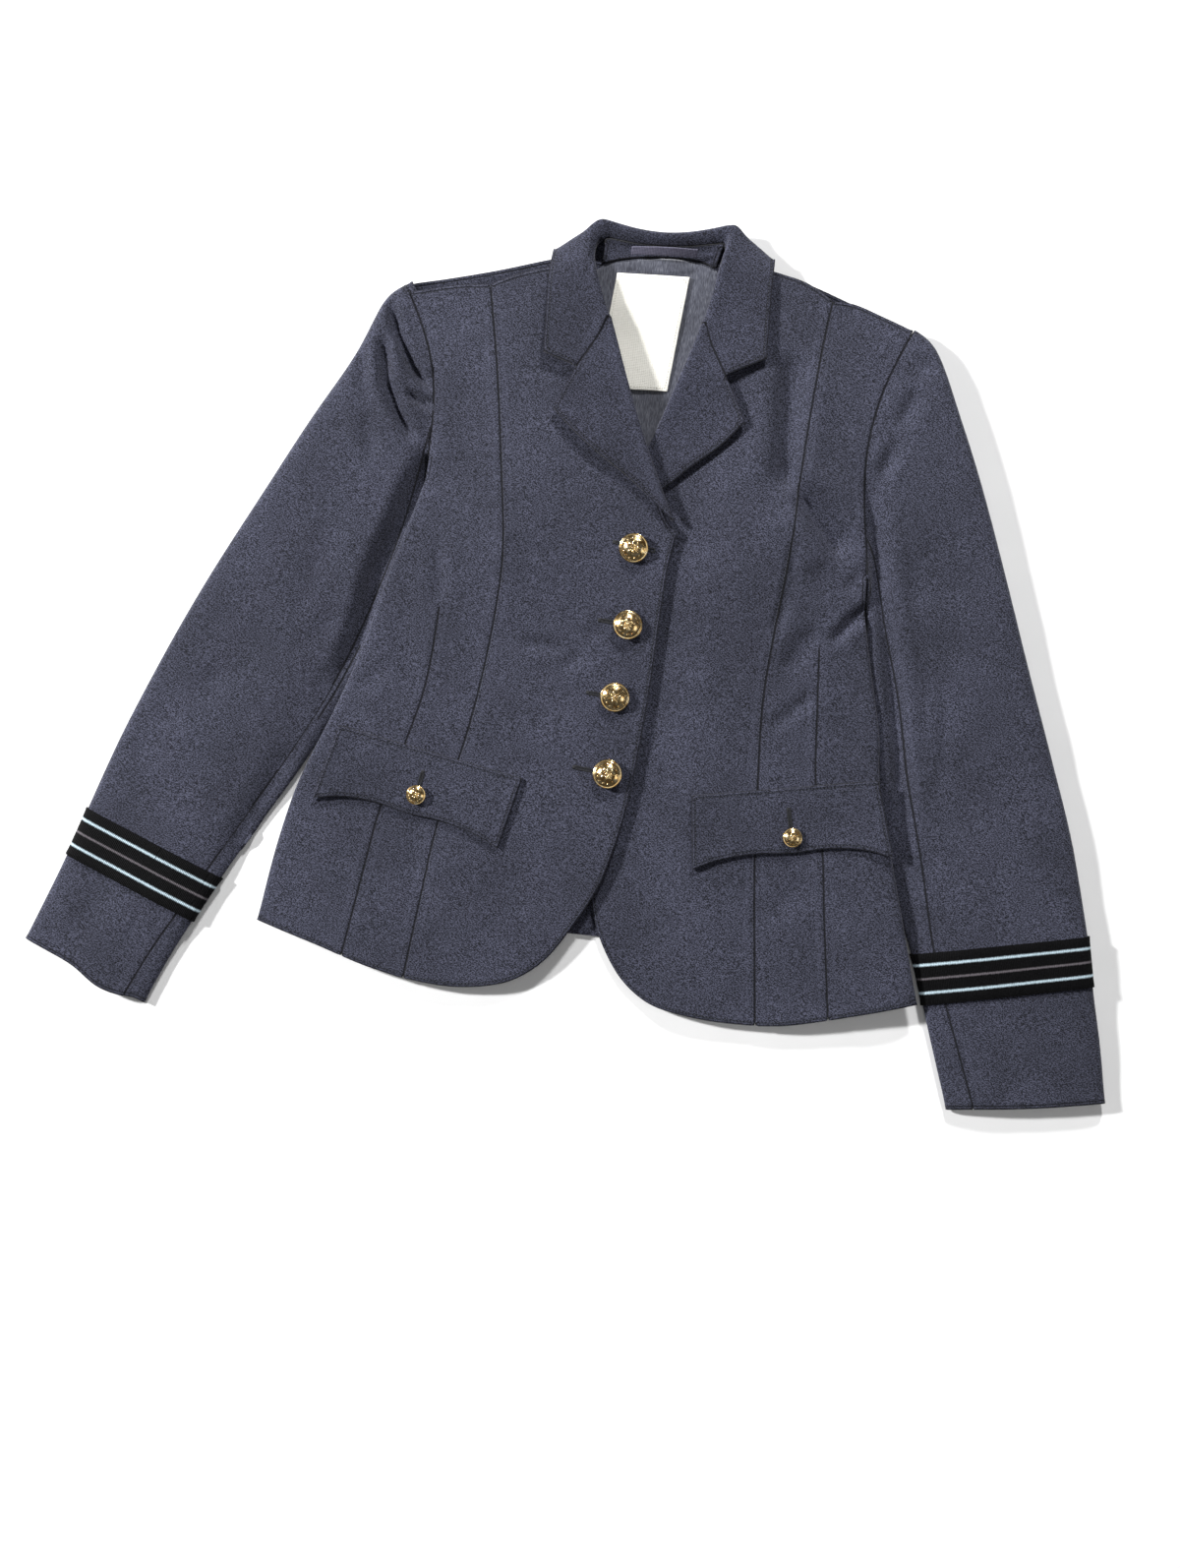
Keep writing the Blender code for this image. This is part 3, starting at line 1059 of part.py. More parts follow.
def lining_place(x, y):
    """The lining lies on the back's inside and has a soft pleat down its middle."""
    pleat = PLEAT["high"] * math.exp(-((x - PLEAT["x"]) / PLEAT["wide"]) ** 2)
    dip = LINING_DIP["deep"] * ease((LINING_DIP["below"] - y) / LINING_DIP["over"])
    return x, y, LINING_HEIGHT + back_height(x, y) * LINING_SHARE - dip + pleat


def add_neck_pieces():
    """The lining seen in the neck, the label stitched on it and the hanger loop across the stand."""
    outline = [tuple(p) for p in through((*LINING_OUTLINE, LINING_OUTLINE[0]), LINING_NET * 0.9)[:-1]]
    add_panel("lining", outline, LINING_NET, lining_place, "satin_lining", cloth=LINING_CLOTH)
    tilt = math.radians(LABEL["tilt"])
    right = np.array(LABEL["top_right"])
    across = np.array((math.cos(tilt * 0.5), math.sin(tilt * 0.5)))
    down = np.array((-math.sin(tilt), -math.cos(tilt)))
    label = []
    for along in np.linspace(0, 1, LABEL_COLUMNS):
        for drop in np.linspace(0, 1, LABEL_ROWS):
            x, y = right - across * LABEL["wide"] * (1 - along) + down * LABEL["high"] * drop
            label.append((x, y, lining_place(x, y)[2] + LAY_GAP + LABEL_CLOTH + LABEL["off"]))
    add_wall("label", label, strip_faces(LABEL_COLUMNS, LABEL_ROWS, False), LABEL_CLOTH, "woven_label")
    loop = []
    for share in np.linspace(0, 1, HANGER_ROWS):
        x = HANGER["half"] * (2 * share - 1)
        z = HANGER["z"] + HANGER["bow"] * math.sin(math.pi * share)
        y = HANGER["y"] + COLLAR_TILT * x
        loop += [(x, y, z), (x, y + HANGER["high"], z + HANGER["lean"])]
    add_wall("hanger_loop", loop, strip_faces(HANGER_ROWS, 2, True), LINING_CLOTH, "satin_lining")


def main():
    for old in list(bpy.data.objects):
        bpy.data.objects.remove(old, do_unlink=True)
    add_back()
    for side in SIDES:
        add_front(side)
        add_side(side)
        add_lapel(side)
        add_sleeve(side)
        add_lace(side)
        add_flap(side)
    add_collar()
    add_stand()
    add_neck_pieces()
    add_buttons()


main()
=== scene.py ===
"""Looks of a woman's blue-grey military dress tunic, laid flat on its back.

Each panel is a sheet of cloth grown from the outer face of its solid: smoothed, creased, stitched and given its
thickness. Units are metres. +X is the wearer's left, +Y runs to the collar and +Z is up.
"""

import math

import bmesh
import bpy
import numpy as np
from mathutils import Matrix, Vector, noise
from mathutils.bvhtree import BVHTree
from mathutils.kdtree import KDTree


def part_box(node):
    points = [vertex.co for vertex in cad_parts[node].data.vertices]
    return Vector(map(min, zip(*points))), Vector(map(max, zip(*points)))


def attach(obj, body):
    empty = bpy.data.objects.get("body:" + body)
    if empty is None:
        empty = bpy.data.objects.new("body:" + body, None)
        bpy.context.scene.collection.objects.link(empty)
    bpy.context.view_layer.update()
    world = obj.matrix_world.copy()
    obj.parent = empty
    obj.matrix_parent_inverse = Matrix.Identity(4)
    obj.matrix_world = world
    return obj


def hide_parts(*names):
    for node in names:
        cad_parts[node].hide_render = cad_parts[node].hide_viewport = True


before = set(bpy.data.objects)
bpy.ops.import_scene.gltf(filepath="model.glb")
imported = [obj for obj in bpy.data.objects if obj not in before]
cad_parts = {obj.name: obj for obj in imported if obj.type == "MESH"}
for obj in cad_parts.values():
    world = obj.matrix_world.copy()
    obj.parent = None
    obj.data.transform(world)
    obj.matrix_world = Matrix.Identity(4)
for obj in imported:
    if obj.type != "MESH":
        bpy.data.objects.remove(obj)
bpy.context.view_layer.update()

MM = 0.001
SIDES = {"right": -1, "left": 1}

# ---- cloth ----
CLOTH = 1.6 * MM
FLAP_CLOTH = 2.2 * MM
THIN_CLOTH = 1.0 * MM        # lining, label and lace
ALLOWANCE_CLOTH = 0.8 * MM   # seam allowance, trimmed and pressed
ALLOWANCE = 6.0 * MM         # its reach beyond the seam
ALLOWANCE_DROP = 1.0 * MM    # below the panel's upper face
JOIN = 0.02 * MM             # doubles in a solid's mesh
RIM_MATCH = 0.01 * MM        # how closely a rim edge has the cloth's thickness
CORNER = 32                  # a boundary that turns more than this many degrees keeps its corner
SEAM_NEAR = 3.4 * MM         # two facing boundaries this close are a seam
SEAM_CLOSE = 0.44            # share of a seam's gap that each side closes
FAR = 0.05                   # attribute value far from any edge

# ---- soft creases of the upper cloth, in mm: half width and depth (a ridge is negative), then x, y, x, y ... ----
BODY_CREASES = (
    (7, 3.6, 108, 106, 114, 98, 132, 75, 152, 50, 172, 29), (4.5, 2.0, 123, 44, 126, 12, 122, -10, 117, -34),
    (4.5, 3.2, 197, 3, 177, -14, 160, -37), (5, 1.6, 154, -73, 138, -90, 120, -106), (5, 1.4, 186, 30, 167, 6),
    (6, 1.4, -97, 24, -85, 14, -73, 6), (5, 2.0, -153, 12, -148, -16, -145, -33),
    (5, 1.6, -82, -61, -62, -58, -40, -63),
    (5, 1.5, -46, -77, -30, -61), (5, 0.9, -30, -48, -15, -42), (9, 1.2, 164, -222, 124, -262),
    (9, 1.2, -150, -224, -130, -290), (7, 0.9, -122, -99, -80, -125), (12, 0.8, -150, 150, -130, 60),
    (12, 0.8, 150, 150, 138, 84), (10, 0.8, 70, -20, 96, -80), (12, 0.7, 60, -240, 90, -320),
    (12, 0.7, -60, -230, -84, -320), (8, 1.0, -176, -40, -160, -110), (10, 0.7, 30, 40, 80, 16),
    (10, 6.6, 108, 192, 110, 150, 112, 110, 112, 72), (11.5, 4.8, 121, 84, 135, 72, 150, 58, 170, 38),
    (8, 2.2, 150, -20, 128, -62),
    (7, 1.2, 196, -120, 168, -90), (7, 1.0, -206, -110, -176, -86), (9, 1.0, 40, 160, 62, 100),
)
SLEEVE_CREASES = (
    (3.8, 6.0, -211, 200, -201, 172, -186, 146, -168, 130), (4.2, 6.2, -213, 174, -206, 134, -195, 112, -176, 86),
    (3.4, 3.2, -190, 126, -164, 115), (5, 2.4, -222, 105, -206, 73), (4.5, 1.6, -226, 160, -224, 130, -216, 112),
    (6.5, 5.0, -163, 88, -174, 59, -181, 35, -190, 9, -198, -17, -202, -41, -208, -68, -215, -92, -224, -110),
    (12, 1.4, -241, -2, -257, -74), (10, 1.0, -228, 30, -246, -20), (8, 2.0, -246, -150, -272, -210, -296, -262),
    (10, 1.0, -300, -100, -330, -130), (8, 1.0, -222, -50, -254, -84), (12, 0.9, -340, -120, -372, -190),
    (1.8, 0.7, -353, -292, -362, -328), (10, 0.8, -382, -280, -404, -330),
    (6.5, 3.0, 207, 172, 200, 140), (5.5, 3.2, 197, 128, 187, 98), (8, 1.6, 216, 198, 206, 176),
    (5, 1.4, 252, -51, 258, -85, 259, -148),
    (6.5, 7.0, 178, 96, 184, 66, 193, 28, 200, -2, 208, -33, 215, -63, 224, -109, 233, -162, 240, -190),
    (11, 1.2, 232, 60, 226, -10), (12, 0.9, 250, 40, 262, -50), (9, 1.3, 226, -84, 250, -128),
    (12, 1.0, 262, -110, 300, -170), (9, 1.0, 250, -190, 300, -210), (10, 0.8, 300, -210, 330, -250),
    (9, 0.9, 330, -330, 346, -372), (8, 0.9, 296, -330, 306, -372),
)
RIDGE = 0.32                 # share of a crease's depth that the cloth rises beside it
UNEVEN = ((46.0, 0.75), (17.0, 0.28))      # wave length and height in mm of the cloth's own unevenness
UNDER_SHARE = 0.5                          # of it on the underside, which the floor presses flat

# ---- stitching ----
THREAD = 0.24 * MM           # half the width of a stitch
PITCH = 2.7 * MM
STITCH = 1.9 * MM

PANELS = (   # node, cloth, which face is outside, levels
    ("front_right", CLOTH, "high", 3), ("front_left", CLOTH, "high", 3),
    ("side_right", CLOTH, "wide", 3), ("side_left", CLOTH, "wide", 3),
    ("back", CLOTH, "low", 3), ("lapel_right", CLOTH, "high", 2), ("lapel_left", CLOTH, "high", 2),
    ("collar", CLOTH, "wide", 2), ("collar_stand", CLOTH, "wide", 2),
    ("sleeve_top_right", CLOTH, "wide", 3), ("sleeve_top_left", CLOTH, "wide", 3),
    ("sleeve_under_right", CLOTH, "wide", 2), ("sleeve_under_left", CLOTH, "wide", 2),
    ("cuff_lace_right", THIN_CLOTH, "wide", 2), ("cuff_lace_left", THIN_CLOTH, "wide", 2),
    ("pocket_flap_right", FLAP_CLOTH, "high", 3), ("pocket_flap_left", FLAP_CLOTH, "high", 3),
    ("lining", THIN_CLOTH, "high", 3), ("label", THIN_CLOTH, "high", 3), ("hanger_loop", THIN_CLOTH, "wide", 2),
)


# ---------------------------------------------------------------- colour and materials

def linear(code):
    """An sRGB hex colour as linear red, green, blue and alpha."""
    parts = [int(code[i:i + 2], 16) / 255 for i in (1, 3, 5)]
    return (*[c / 12.92 if c <= 0.04045 else ((c + 0.055) / 1.055) ** 2.4 for c in parts], 1.0)


def new_material(name):
    made = bpy.data.materials.new(name)
    made.use_nodes = True
    return made, made.node_tree, made.node_tree.nodes["Principled BSDF"]


def node(tree, kind, settings=None, **inputs):
    """Adds a node with its settings; an input is a value, or a (node, output) pair to link from."""
    made = tree.nodes.new("ShaderNode" + kind)
    for key, value in (settings or {}).items():
        setattr(made, key, value)
    for key, value in inputs.items():
        numbered = key[0] == "i" and key[1:].isdigit()
        socket = made.inputs[int(key[1:]) if numbered else key.replace("_", " ")]
        if isinstance(value, tuple) and len(value) == 2 and isinstance(value[0], bpy.types.Node):
            tree.links.new(value[0].outputs[value[1]], socket)
        else:
            socket.default_value = value
    return made


def ramp(tree, source, stops, kind="LINEAR"):
    """A colour ramp over stops of (place, hex colour)."""
    made = tree.nodes.new("ShaderNodeValToRGB")
    made.color_ramp.interpolation = kind
    while len(made.color_ramp.elements) < len(stops):
        made.color_ramp.elements.new(0.5)
    for element, (place, code) in zip(made.color_ramp.elements, stops):
        element.position = place
        element.color = linear(code)
    tree.links.new(source[0].outputs[source[1]], made.inputs[0])
    return made


def maths(tree, operation, first, second=0.0):
    return node(tree, "Math", {"operation": operation}, i0=first, i1=second), 0


def span(tree, source, low, high, to_low=0.0, to_high=1.0, smooth=True):
    """The source's range from low to high as another range."""
    kind = "SMOOTHSTEP" if smooth else "LINEAR"
    made = node(tree, "MapRange", {"interpolation_type": kind}, Value=source, From_Min=low, From_Max=high,
                To_Min=to_low, To_Max=to_high)
    return made, "Result"


def band(tree, source, middle, half):
    """1 at the middle, falling smoothly to 0 a half width away."""
    off = maths(tree, "ABSOLUTE", maths(tree, "SUBTRACT", source, middle))
    return span(tree, off, 0.0, half, 1.0, 0.0)


def tint(tree, colour, factor, code, blend="MIX"):
    mixed = node(tree, "Mix", {"data_type": "RGBA", "blend_type": blend}, Factor=factor, i6=colour, i7=linear(code))
    return mixed, 2


def attribute(tree, name):
    return node(tree, "Attribute", {"attribute_name": name}), "Fac"


def wool(name, dark, middle, light, sheen=0.12):
    """Barathea: worsted yarns of dark and pale fibres in a fine broken rib; matt, with a short nap at grazing angles.

    The yarns are drawn 0.5 mm apart and the flecks 1 mm wide; finer ones would not show.
    """
    made, tree, shader = new_material(name)
    where = node(tree, "TexCoord"), "Object"
    turned = node(tree, "Mapping", i0=where, Rotation=(0.0, 0.0, 0.62), Scale=(1.0, 1.7, 1.0)), 0
    flecks = node(tree, "TexNoise", Vector=turned, Scale=780.0, Detail=2.0, Roughness=0.8), "Fac"
    yarns = node(tree, "TexNoise", Vector=where, Scale=1700.0, Detail=1.0, Roughness=0.6), "Fac"
    patches = node(tree, "TexNoise", Vector=where, Scale=14.0, Detail=3.0, Roughness=0.6), "Fac"
    rib = node(tree, "TexWave", {"bands_direction": "DIAGONAL"}, Vector=where, Scale=210.0, Distortion=3.0,
               Detail=2.0, Detail_Scale=3.0), "Fac"
    mixed = maths(tree, "ADD", maths(tree, "MULTIPLY", flecks, 0.62), maths(tree, "MULTIPLY", yarns, 0.38))
    colour = ramp(tree, mixed, ((0.43, dark), (0.49, middle), (0.55, light))), "Color"
    edge, seam = attribute(tree, "edge"), attribute(tree, "seam")
    colour = tint(tree, colour, span(tree, patches, 0.35, 0.70, 0.0, 0.30), dark)
    colour = tint(tree, colour, maths(tree, "MULTIPLY", span(tree, rib, 0.2, 0.8), 0.12), light)
    # Painted shade: a dark band 2.6 mm in from each free edge, in the groove where the topstitching runs.
    colour = tint(tree, colour, maths(tree, "MULTIPLY", band(tree, edge, 2.6 * MM, 1.1 * MM), 0.8), dark)
    # Painted shade: a near-black line along each seam, standing in for the shadow in its groove.
    seam_shade = span(tree, seam, 0.35 * MM, 1.2 * MM, 0.85, 0.0)
    colour = tint(tree, colour, seam_shade, "#050508")
    # Painted shade: a near-black line at the very rim of each free edge, where the cloth turns under.
    rim_shade = span(tree, edge, 0.3 * MM, 1.0 * MM, 0.7, 0.0)
    colour = tint(tree, colour, rim_shade, "#050508")
    # Painted highlight: a faint lighter band along the ridge that the pressed seam allowance raises beside each seam.
    colour = tint(tree, colour, maths(tree, "MULTIPLY", band(tree, seam, 6.0 * MM, 2.5 * MM), 0.10), light)
    tree.links.new(colour[0].outputs[colour[1]], shader.inputs["Base Color"])
    nap = node(tree, "Bump", Height=mixed, Strength=0.55, Distance=0.0006), "Normal"
    folded = maths(tree, "ADD", span(tree, edge, 0.0, 1.5 * MM), span(tree, edge, 5.0 * MM, 9.0 * MM, 0.5, 0.0))
    folded = maths(tree, "SUBTRACT", folded, band(tree, edge, 2.6 * MM, 1.0 * MM))
    folded = maths(tree, "ADD", folded, span(tree, seam, 0.0, 1.4 * MM, 0.0, 0.6))
    folded = maths(tree, "ADD", folded, span(tree, seam, 6.0 * MM, 10.0 * MM, 0.3, 0.0))
    pressed = node(tree, "Bump", Height=folded, Strength=0.55, Distance=0.0006, Normal=nap)
    tree.links.new(pressed.outputs["Normal"], shader.inputs["Normal"])
    shader.inputs["Roughness"].default_value = 0.9
    shader.inputs["Specular IOR Level"].default_value = 0.2
    shader.inputs["Sheen Weight"].default_value = sheen
    shader.inputs["Sheen Roughness"].default_value = 0.5
    return made


def satin(name, dark, middle, light):
    """Viscose lining satin: long floats along the body give it a soft gloss across its folds."""
    made, tree, shader = new_material(name)
    where = node(tree, "TexCoord"), "Object"
    floats = node(tree, "TexNoise", Vector=(node(tree, "Mapping", i0=where, Scale=(9.0, 1.0, 4.0)), 0), Scale=240.0,
                  Detail=2.0), "Fac"
    clouds = node(tree, "TexNoise", Vector=where, Scale=55.0, Detail=3.0), "Fac"
    colour = ramp(tree, floats, ((0.30, dark), (0.52, middle), (0.74, light))), "Color"
    colour = tint(tree, colour, span(tree, clouds, 0.40, 0.72, 0.0, 0.35), dark)
    tree.links.new(colour[0].outputs[colour[1]], shader.inputs["Base Color"])
    bump = node(tree, "Bump", Height=floats, Strength=0.25, Distance=0.0003), "Normal"
    soft = node(tree, "Bump", Height=clouds, Strength=0.5, Distance=0.0010, Normal=bump)
    tree.links.new(soft.outputs["Normal"], shader.inputs["Normal"])
    shader.inputs["Roughness"].default_value = 0.42
    shader.inputs["Specular IOR Level"].default_value = 0.45
    return made


def woven_tape(name, dark, middle, light, pitch, rough=0.75):
    """A narrow woven tape: fine ribs across it, pitch metres apart, and slightly uneven yarn colour."""
    made, tree, shader = new_material(name)
    where = node(tree, "TexCoord"), "Object"
    rib = node(tree, "TexWave", {"bands_direction": "X"}, Vector=where, Scale=0.31 / pitch, Distortion=0.6), "Fac"
    pick = node(tree, "TexWave", {"bands_direction": "Y"}, Vector=where, Scale=0.40 / pitch, Distortion=0.6), "Fac"
    yarns = node(tree, "TexNoise", Vector=where, Scale=500.0, Detail=2.0), "Fac"
    weave = maths(tree, "MULTIPLY", maths(tree, "ADD", rib, pick), 0.5)
    mixed = maths(tree, "ADD", maths(tree, "MULTIPLY", weave, 0.55), maths(tree, "MULTIPLY", yarns, 0.45))
    colour = ramp(tree, mixed, ((0.2, dark), (0.45, middle), (0.75, light))), "Color"
    tree.links.new(colour[0].outputs[colour[1]], shader.inputs["Base Color"])
    bump = node(tree, "Bump", Height=weave, Strength=0.5, Distance=0.0003)
    tree.links.new(bump.outputs["Normal"], shader.inputs["Normal"])
    shader.inputs["Roughness"].default_value = rough
    shader.inputs["Specular IOR Level"].default_value = 0.25
    return made


LACE_STRIPES = (   # middle and half width as shares of the braid, and colour
    (0.235, 0.042, "#CDE3EF"), (0.505, 0.036, "#6B666B"), (0.775, 0.042, "#CDE3EF"))


def braid(name):
    """Cuff braid: black ribbed mohair with two pale blue stripes and a grey one; the ribs run across the band."""
    made, tree, shader = new_material(name)
    across, along = attribute(tree, "across"), attribute(tree, "along")
    where = node(tree, "TexCoord"), "Object"
    yarns = node(tree, "TexNoise", Vector=where, Scale=900.0, Detail=2.0), "Fac"
    rib = maths(tree, "SINE", maths(tree, "MULTIPLY", along, 2 * math.pi / (1.3 * MM)))
    rib = maths(tree, "MULTIPLY", maths(tree, "ADD", rib, 1.0), 0.5)
    colour = ramp(tree, yarns, ((0.30, "#020203"), (0.55, "#070708"), (0.75, "#121215"))), "Color"
    wander = maths(tree, "MULTIPLY", maths(tree, "SUBTRACT", yarns, 0.5), 0.03)
    placed = maths(tree, "ADD", across, wander)
    for middle, half, code in LACE_STRIPES:
        colour = tint(tree, colour, maths(tree, "MULTIPLY", band(tree, placed, middle, half), 0.95), code)
    # Painted shade: the hollows between the ribs are darkened.
    colour = tint(tree, colour, maths(tree, "MULTIPLY", maths(tree, "SUBTRACT", 1.0, rib), 0.25), "#08080B")
    # Painted shade: a near-black line where the braid's two ends meet, in the groove the bump presses there.
    joint = span(tree, attribute(tree, "joint"), 0.3 * MM, 1.0 * MM, 1.0, 0.0)
    colour = tint(tree, colour, maths(tree, "MULTIPLY", joint, 0.85), "#020203")
    tree.links.new(colour[0].outputs[colour[1]], shader.inputs["Base Color"])
    raised = maths(tree, "ADD", rib, maths(tree, "MULTIPLY", yarns, 0.6))
    raised = maths(tree, "SUBTRACT", raised, maths(tree, "MULTIPLY", joint, 2.0))
    bump = node(tree, "Bump", Height=raised, Strength=0.6, Distance=0.0004)
    tree.links.new(bump.outputs["Normal"], shader.inputs["Normal"])
    shader.inputs["Roughness"].default_value = 0.7
    shader.inputs["Specular IOR Level"].default_value = 0.08
    return made


def gilt(name):
    """Gilded brass, stamped and polished: a warm yellow mirror, dulled brown in the hollows of its relief."""
    made, tree, shader = new_material(name)
    where = node(tree, "TexCoord"), "Object"
    cloud = node(tree, "TexNoise", Vector=where, Scale=420.0, Detail=3.0), "Fac"
    scratches = node(tree, "TexNoise", Vector=where, Scale=2600.0, Detail=2.0), "Fac"
    hollow = attribute(tree, "hollow")
    colour = ramp(tree, cloud, ((0.30, "#C99B5C"), (0.52, "#E8CB92"), (0.72, "#F6E6C2"))), "Color"
    colour = tint(tree, colour, maths(tree, "MULTIPLY", hollow, 0.8), "#5B3216")
    tree.links.new(colour[0].outputs[colour[1]], shader.inputs["Base Color"])
    rough = span(tree, cloud, 0.3, 0.7, 0.15, 0.24)
    tree.links.new(rough[0].outputs[rough[1]], shader.inputs["Roughness"])
    bump = node(tree, "Bump", Height=scratches, Strength=0.06, Distance=0.0002)
    tree.links.new(bump.outputs["Normal"], shader.inputs["Normal"])
    shader.inputs["Metallic"].default_value = 1.0
    return made


def thread(name, dark, light):
    """Spun polyester sewing thread: twisted, with a faint gloss."""
    made, tree, shader = new_material(name)
    where = node(tree, "TexCoord"), "Object"
    twist = node(tree, "TexNoise", Vector=where, Scale=1400.0, Detail=2.0), "Fac"
    colour = ramp(tree, twist, ((0.35, dark), (0.65, light))), "Color"
    tree.links.new(colour[0].outputs[colour[1]], shader.inputs["Base Color"])
    bump = node(tree, "Bump", Height=twist, Strength=0.4, Distance=0.0002)
    tree.links.new(bump.outputs["Normal"], shader.inputs["Normal"])
    shader.inputs["Roughness"].default_value = 0.6
    return made


def studio_floor(name):
    """Matt white card, hardly uneven."""
    made, tree, shader = new_material(name)
    where = node(tree, "TexCoord"), "Object"
    grain = node(tree, "TexNoise", Vector=where, Scale=30.0, Detail=2.0), "Fac"
    colour = ramp(tree, grain, ((0.3, "#FAFAFA"), (0.7, "#FDFDFD"))), "Color"
    tree.links.new(colour[0].outputs[colour[1]], shader.inputs["Base Color"])
    shader.inputs["Roughness"].default_value = 0.95
    return made


# ---------------------------------------------------------------- sheets from the solids

def outer_sheet(name, cloth, pick):
    """The outer face of a solid's wall as a bmesh: the rim's edges have the cloth's thickness and part it off."""
    sheet = bmesh.new()
    sheet.from_mesh(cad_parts[name].data)
    bmesh.ops.remove_doubles(sheet, verts=sheet.verts, dist=JOIN)
    rim = [f for f in sheet.faces if any(abs(e.calc_length() - cloth) < RIM_MATCH for e in f.edges)]
    bmesh.ops.delete(sheet, geom=rim, context="FACES")
    islands = []
    left = set(sheet.faces)
    while left:
        island = []
        reached = [left.pop()]
        while reached:
            face = reached.pop()
            island.append(face)
            for edge in face.edges:
                for near in edge.link_faces:
                    if near in left:
                        left.remove(near)
                        reached.append(near)
        islands.append(island)
    islands.sort(key=len, reverse=True)
    pair = islands[:2]

    def height(island):
        return sum(f.calc_center_median().z * f.calc_area() for f in island) / sum(f.calc_area() for f in island)

    measure = {"high": height, "low": lambda i: -height(i), "wide": lambda i: sum(f.calc_area() for f in i)}[pick]
    keep = set(max(pair, key=measure))
    bmesh.ops.delete(sheet, geom=[f for f in sheet.faces if f not in keep], context="FACES")
    bmesh.ops.join_triangles(sheet, faces=sheet.faces, angle_face_threshold=math.radians(50),
                             angle_shape_threshold=math.radians(50))
    return sheet


def grow(name, sheet, levels):
    """The sheet as an object, subdivided smooth; sharp turns of its boundary stay."""
    mesh = bpy.data.meshes.new(name)
    creases = []
    for vert in sheet.verts:
        rim = [e for e in vert.link_edges if e.is_boundary]
        sharp = 0.0
        if len(rim) == 2:
            a, b = (e.other_vert(vert).co - vert.co for e in rim)
            sharp = 1.0 if math.degrees(a.angle(-b)) > CORNER else 0.0
        creases.append(sharp)
    sheet.to_mesh(mesh)
    sheet.free()
    mesh.attributes.new("crease_vert", "FLOAT", "POINT").data.foreach_set("value", creases)
    made = bpy.data.objects.new(name, mesh)
    bpy.context.scene.collection.objects.link(made)
    smooth = made.modifiers.new("smooth", "SUBSURF")
    smooth.levels = smooth.render_levels = levels
    apply_modifiers(made)
    return made


def apply_modifiers(made):
    bpy.ops.object.select_all(action="DESELECT")
    bpy.context.view_layer.objects.active = made
    made.select_set(True)
    for modifier in list(made.modifiers):
        bpy.ops.object.modifier_apply(modifier=modifier.name)
    made.select_set(False)


def thicken(made, cloth, bevel=0.45 * MM):
    wall = made.modifiers.new("cloth", "SOLIDIFY")
    wall.thickness = cloth
    wall.offset = -1.0
    wall.use_even_offset = False
    if bevel:
        edge = made.modifiers.new("edge", "BEVEL")
        edge.width = bevel
        edge.segments = 2
        edge.limit_method = "ANGLE"
        edge.angle_limit = math.radians(55)
    apply_modifiers(made)


def finish_piece(made, materials, slot_name, *nodes):
    made.data.materials.clear()
    for material in materials if isinstance(materials, tuple) else (materials,):
        made.data.materials.append(material)
    made.data.shade_smooth()
    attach(made, "root")
    if nodes:
        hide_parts(*nodes)
    return made


# ---------------------------------------------------------------- edges and seams

def rim_loops(mesh):
    """The boundary of an open sheet as loops of (vertex, inward direction in the cloth), in order."""
    uses = {}
    for polygon in mesh.polygons:
        for key in polygon.edge_keys:
            uses.setdefault(key, []).append(polygon)
    inward = {}
    near = {}
    for (a, b), faces in uses.items():
        if len(faces) > 1:
            continue
        face = faces[0]
        run = (mesh.vertices[b].co - mesh.vertices[a].co).normalized()
        to_face = face.center - mesh.vertices[a].co
        side = (to_face - run * to_face.dot(run)).normalized()
        for one, other in ((a, b), (b, a)):
            inward[one] = inward.get(one, Vector()) + side
            near.setdefault(one, []).append(other)
    loops = []
    left = set(near)
    while left:
        start = min(left)
        loop = [start]
        left.discard(start)
        while True:
            following = [v for v in near[loop[-1]] if v in left]
            if not following:
                break
            loop.append(following[0])
            left.discard(following[0])
        loops.append([(v, inward[v].normalized()) for v in loop])
    return loops


def sort_rims(sheets):
    """For each sheet, its loops as rows of (place, inward, is a seam): a seam has another boundary facing it."""
    rims = {name: rim_loops(made.data) for name, made in sheets.items()}
    places = [(name, made.data.vertices[v].co, inward) for name, made in sheets.items()
              for loop in rims[name] for v, inward in loop]
    tree = KDTree(len(places))
    for i, (_, place, _) in enumerate(places):
        tree.insert(place, i)
    tree.balance()
    sorted_rims = {}
    for name, made in sheets.items():
        loops = []
        for loop in rims[name]:
            row = []
            for v, inward in loop:
                place = made.data.vertices[v].co
                facing = any(places[i][2].dot(inward) < -0.4 and (places[i][0] != name or distance > 0.1 * MM)
                             for _, i, distance in tree.find_range(place, SEAM_NEAR))
                row.append((place.copy(), inward, facing))
            loops.append(row)
        sorted_rims[name] = loops
    return sorted_rims


def close_seams(sheets, rims):
    """Draws the two sides of each seam together, as its stitches do."""
    everything = [(place, inward) for name in sheets for loop in rims[name] for place, inward, seam in loop if seam]
    tree = KDTree(len(everything))
    for i, (place, _) in enumerate(everything):
        tree.insert(place, i)
    tree.balance()
    for name, made in sheets.items():
        own = KDTree(len(made.data.vertices))
        for i, vertex in enumerate(made.data.vertices):
            own.insert(vertex.co, i)
        own.balance()
        for loop in rims[name]:
            for k, (place, inward, seam) in enumerate(loop):
                if not seam:
                    continue
                facing = [(distance, everything[i][0]) for _, i, distance in tree.find_range(place, SEAM_NEAR)
                          if everything[i][1].dot(inward) < -0.4]
                if facing:
                    to_other = min(facing, key=lambda f: f[0])[1] - place
                    along = to_other - inward * to_other.dot(inward)
                    moved = place + (to_other - Vector((along.x, along.y, 0))) * SEAM_CLOSE
                    made.data.vertices[own.find(place)[1]].co = moved
                    loop[k] = (moved, inward, seam)


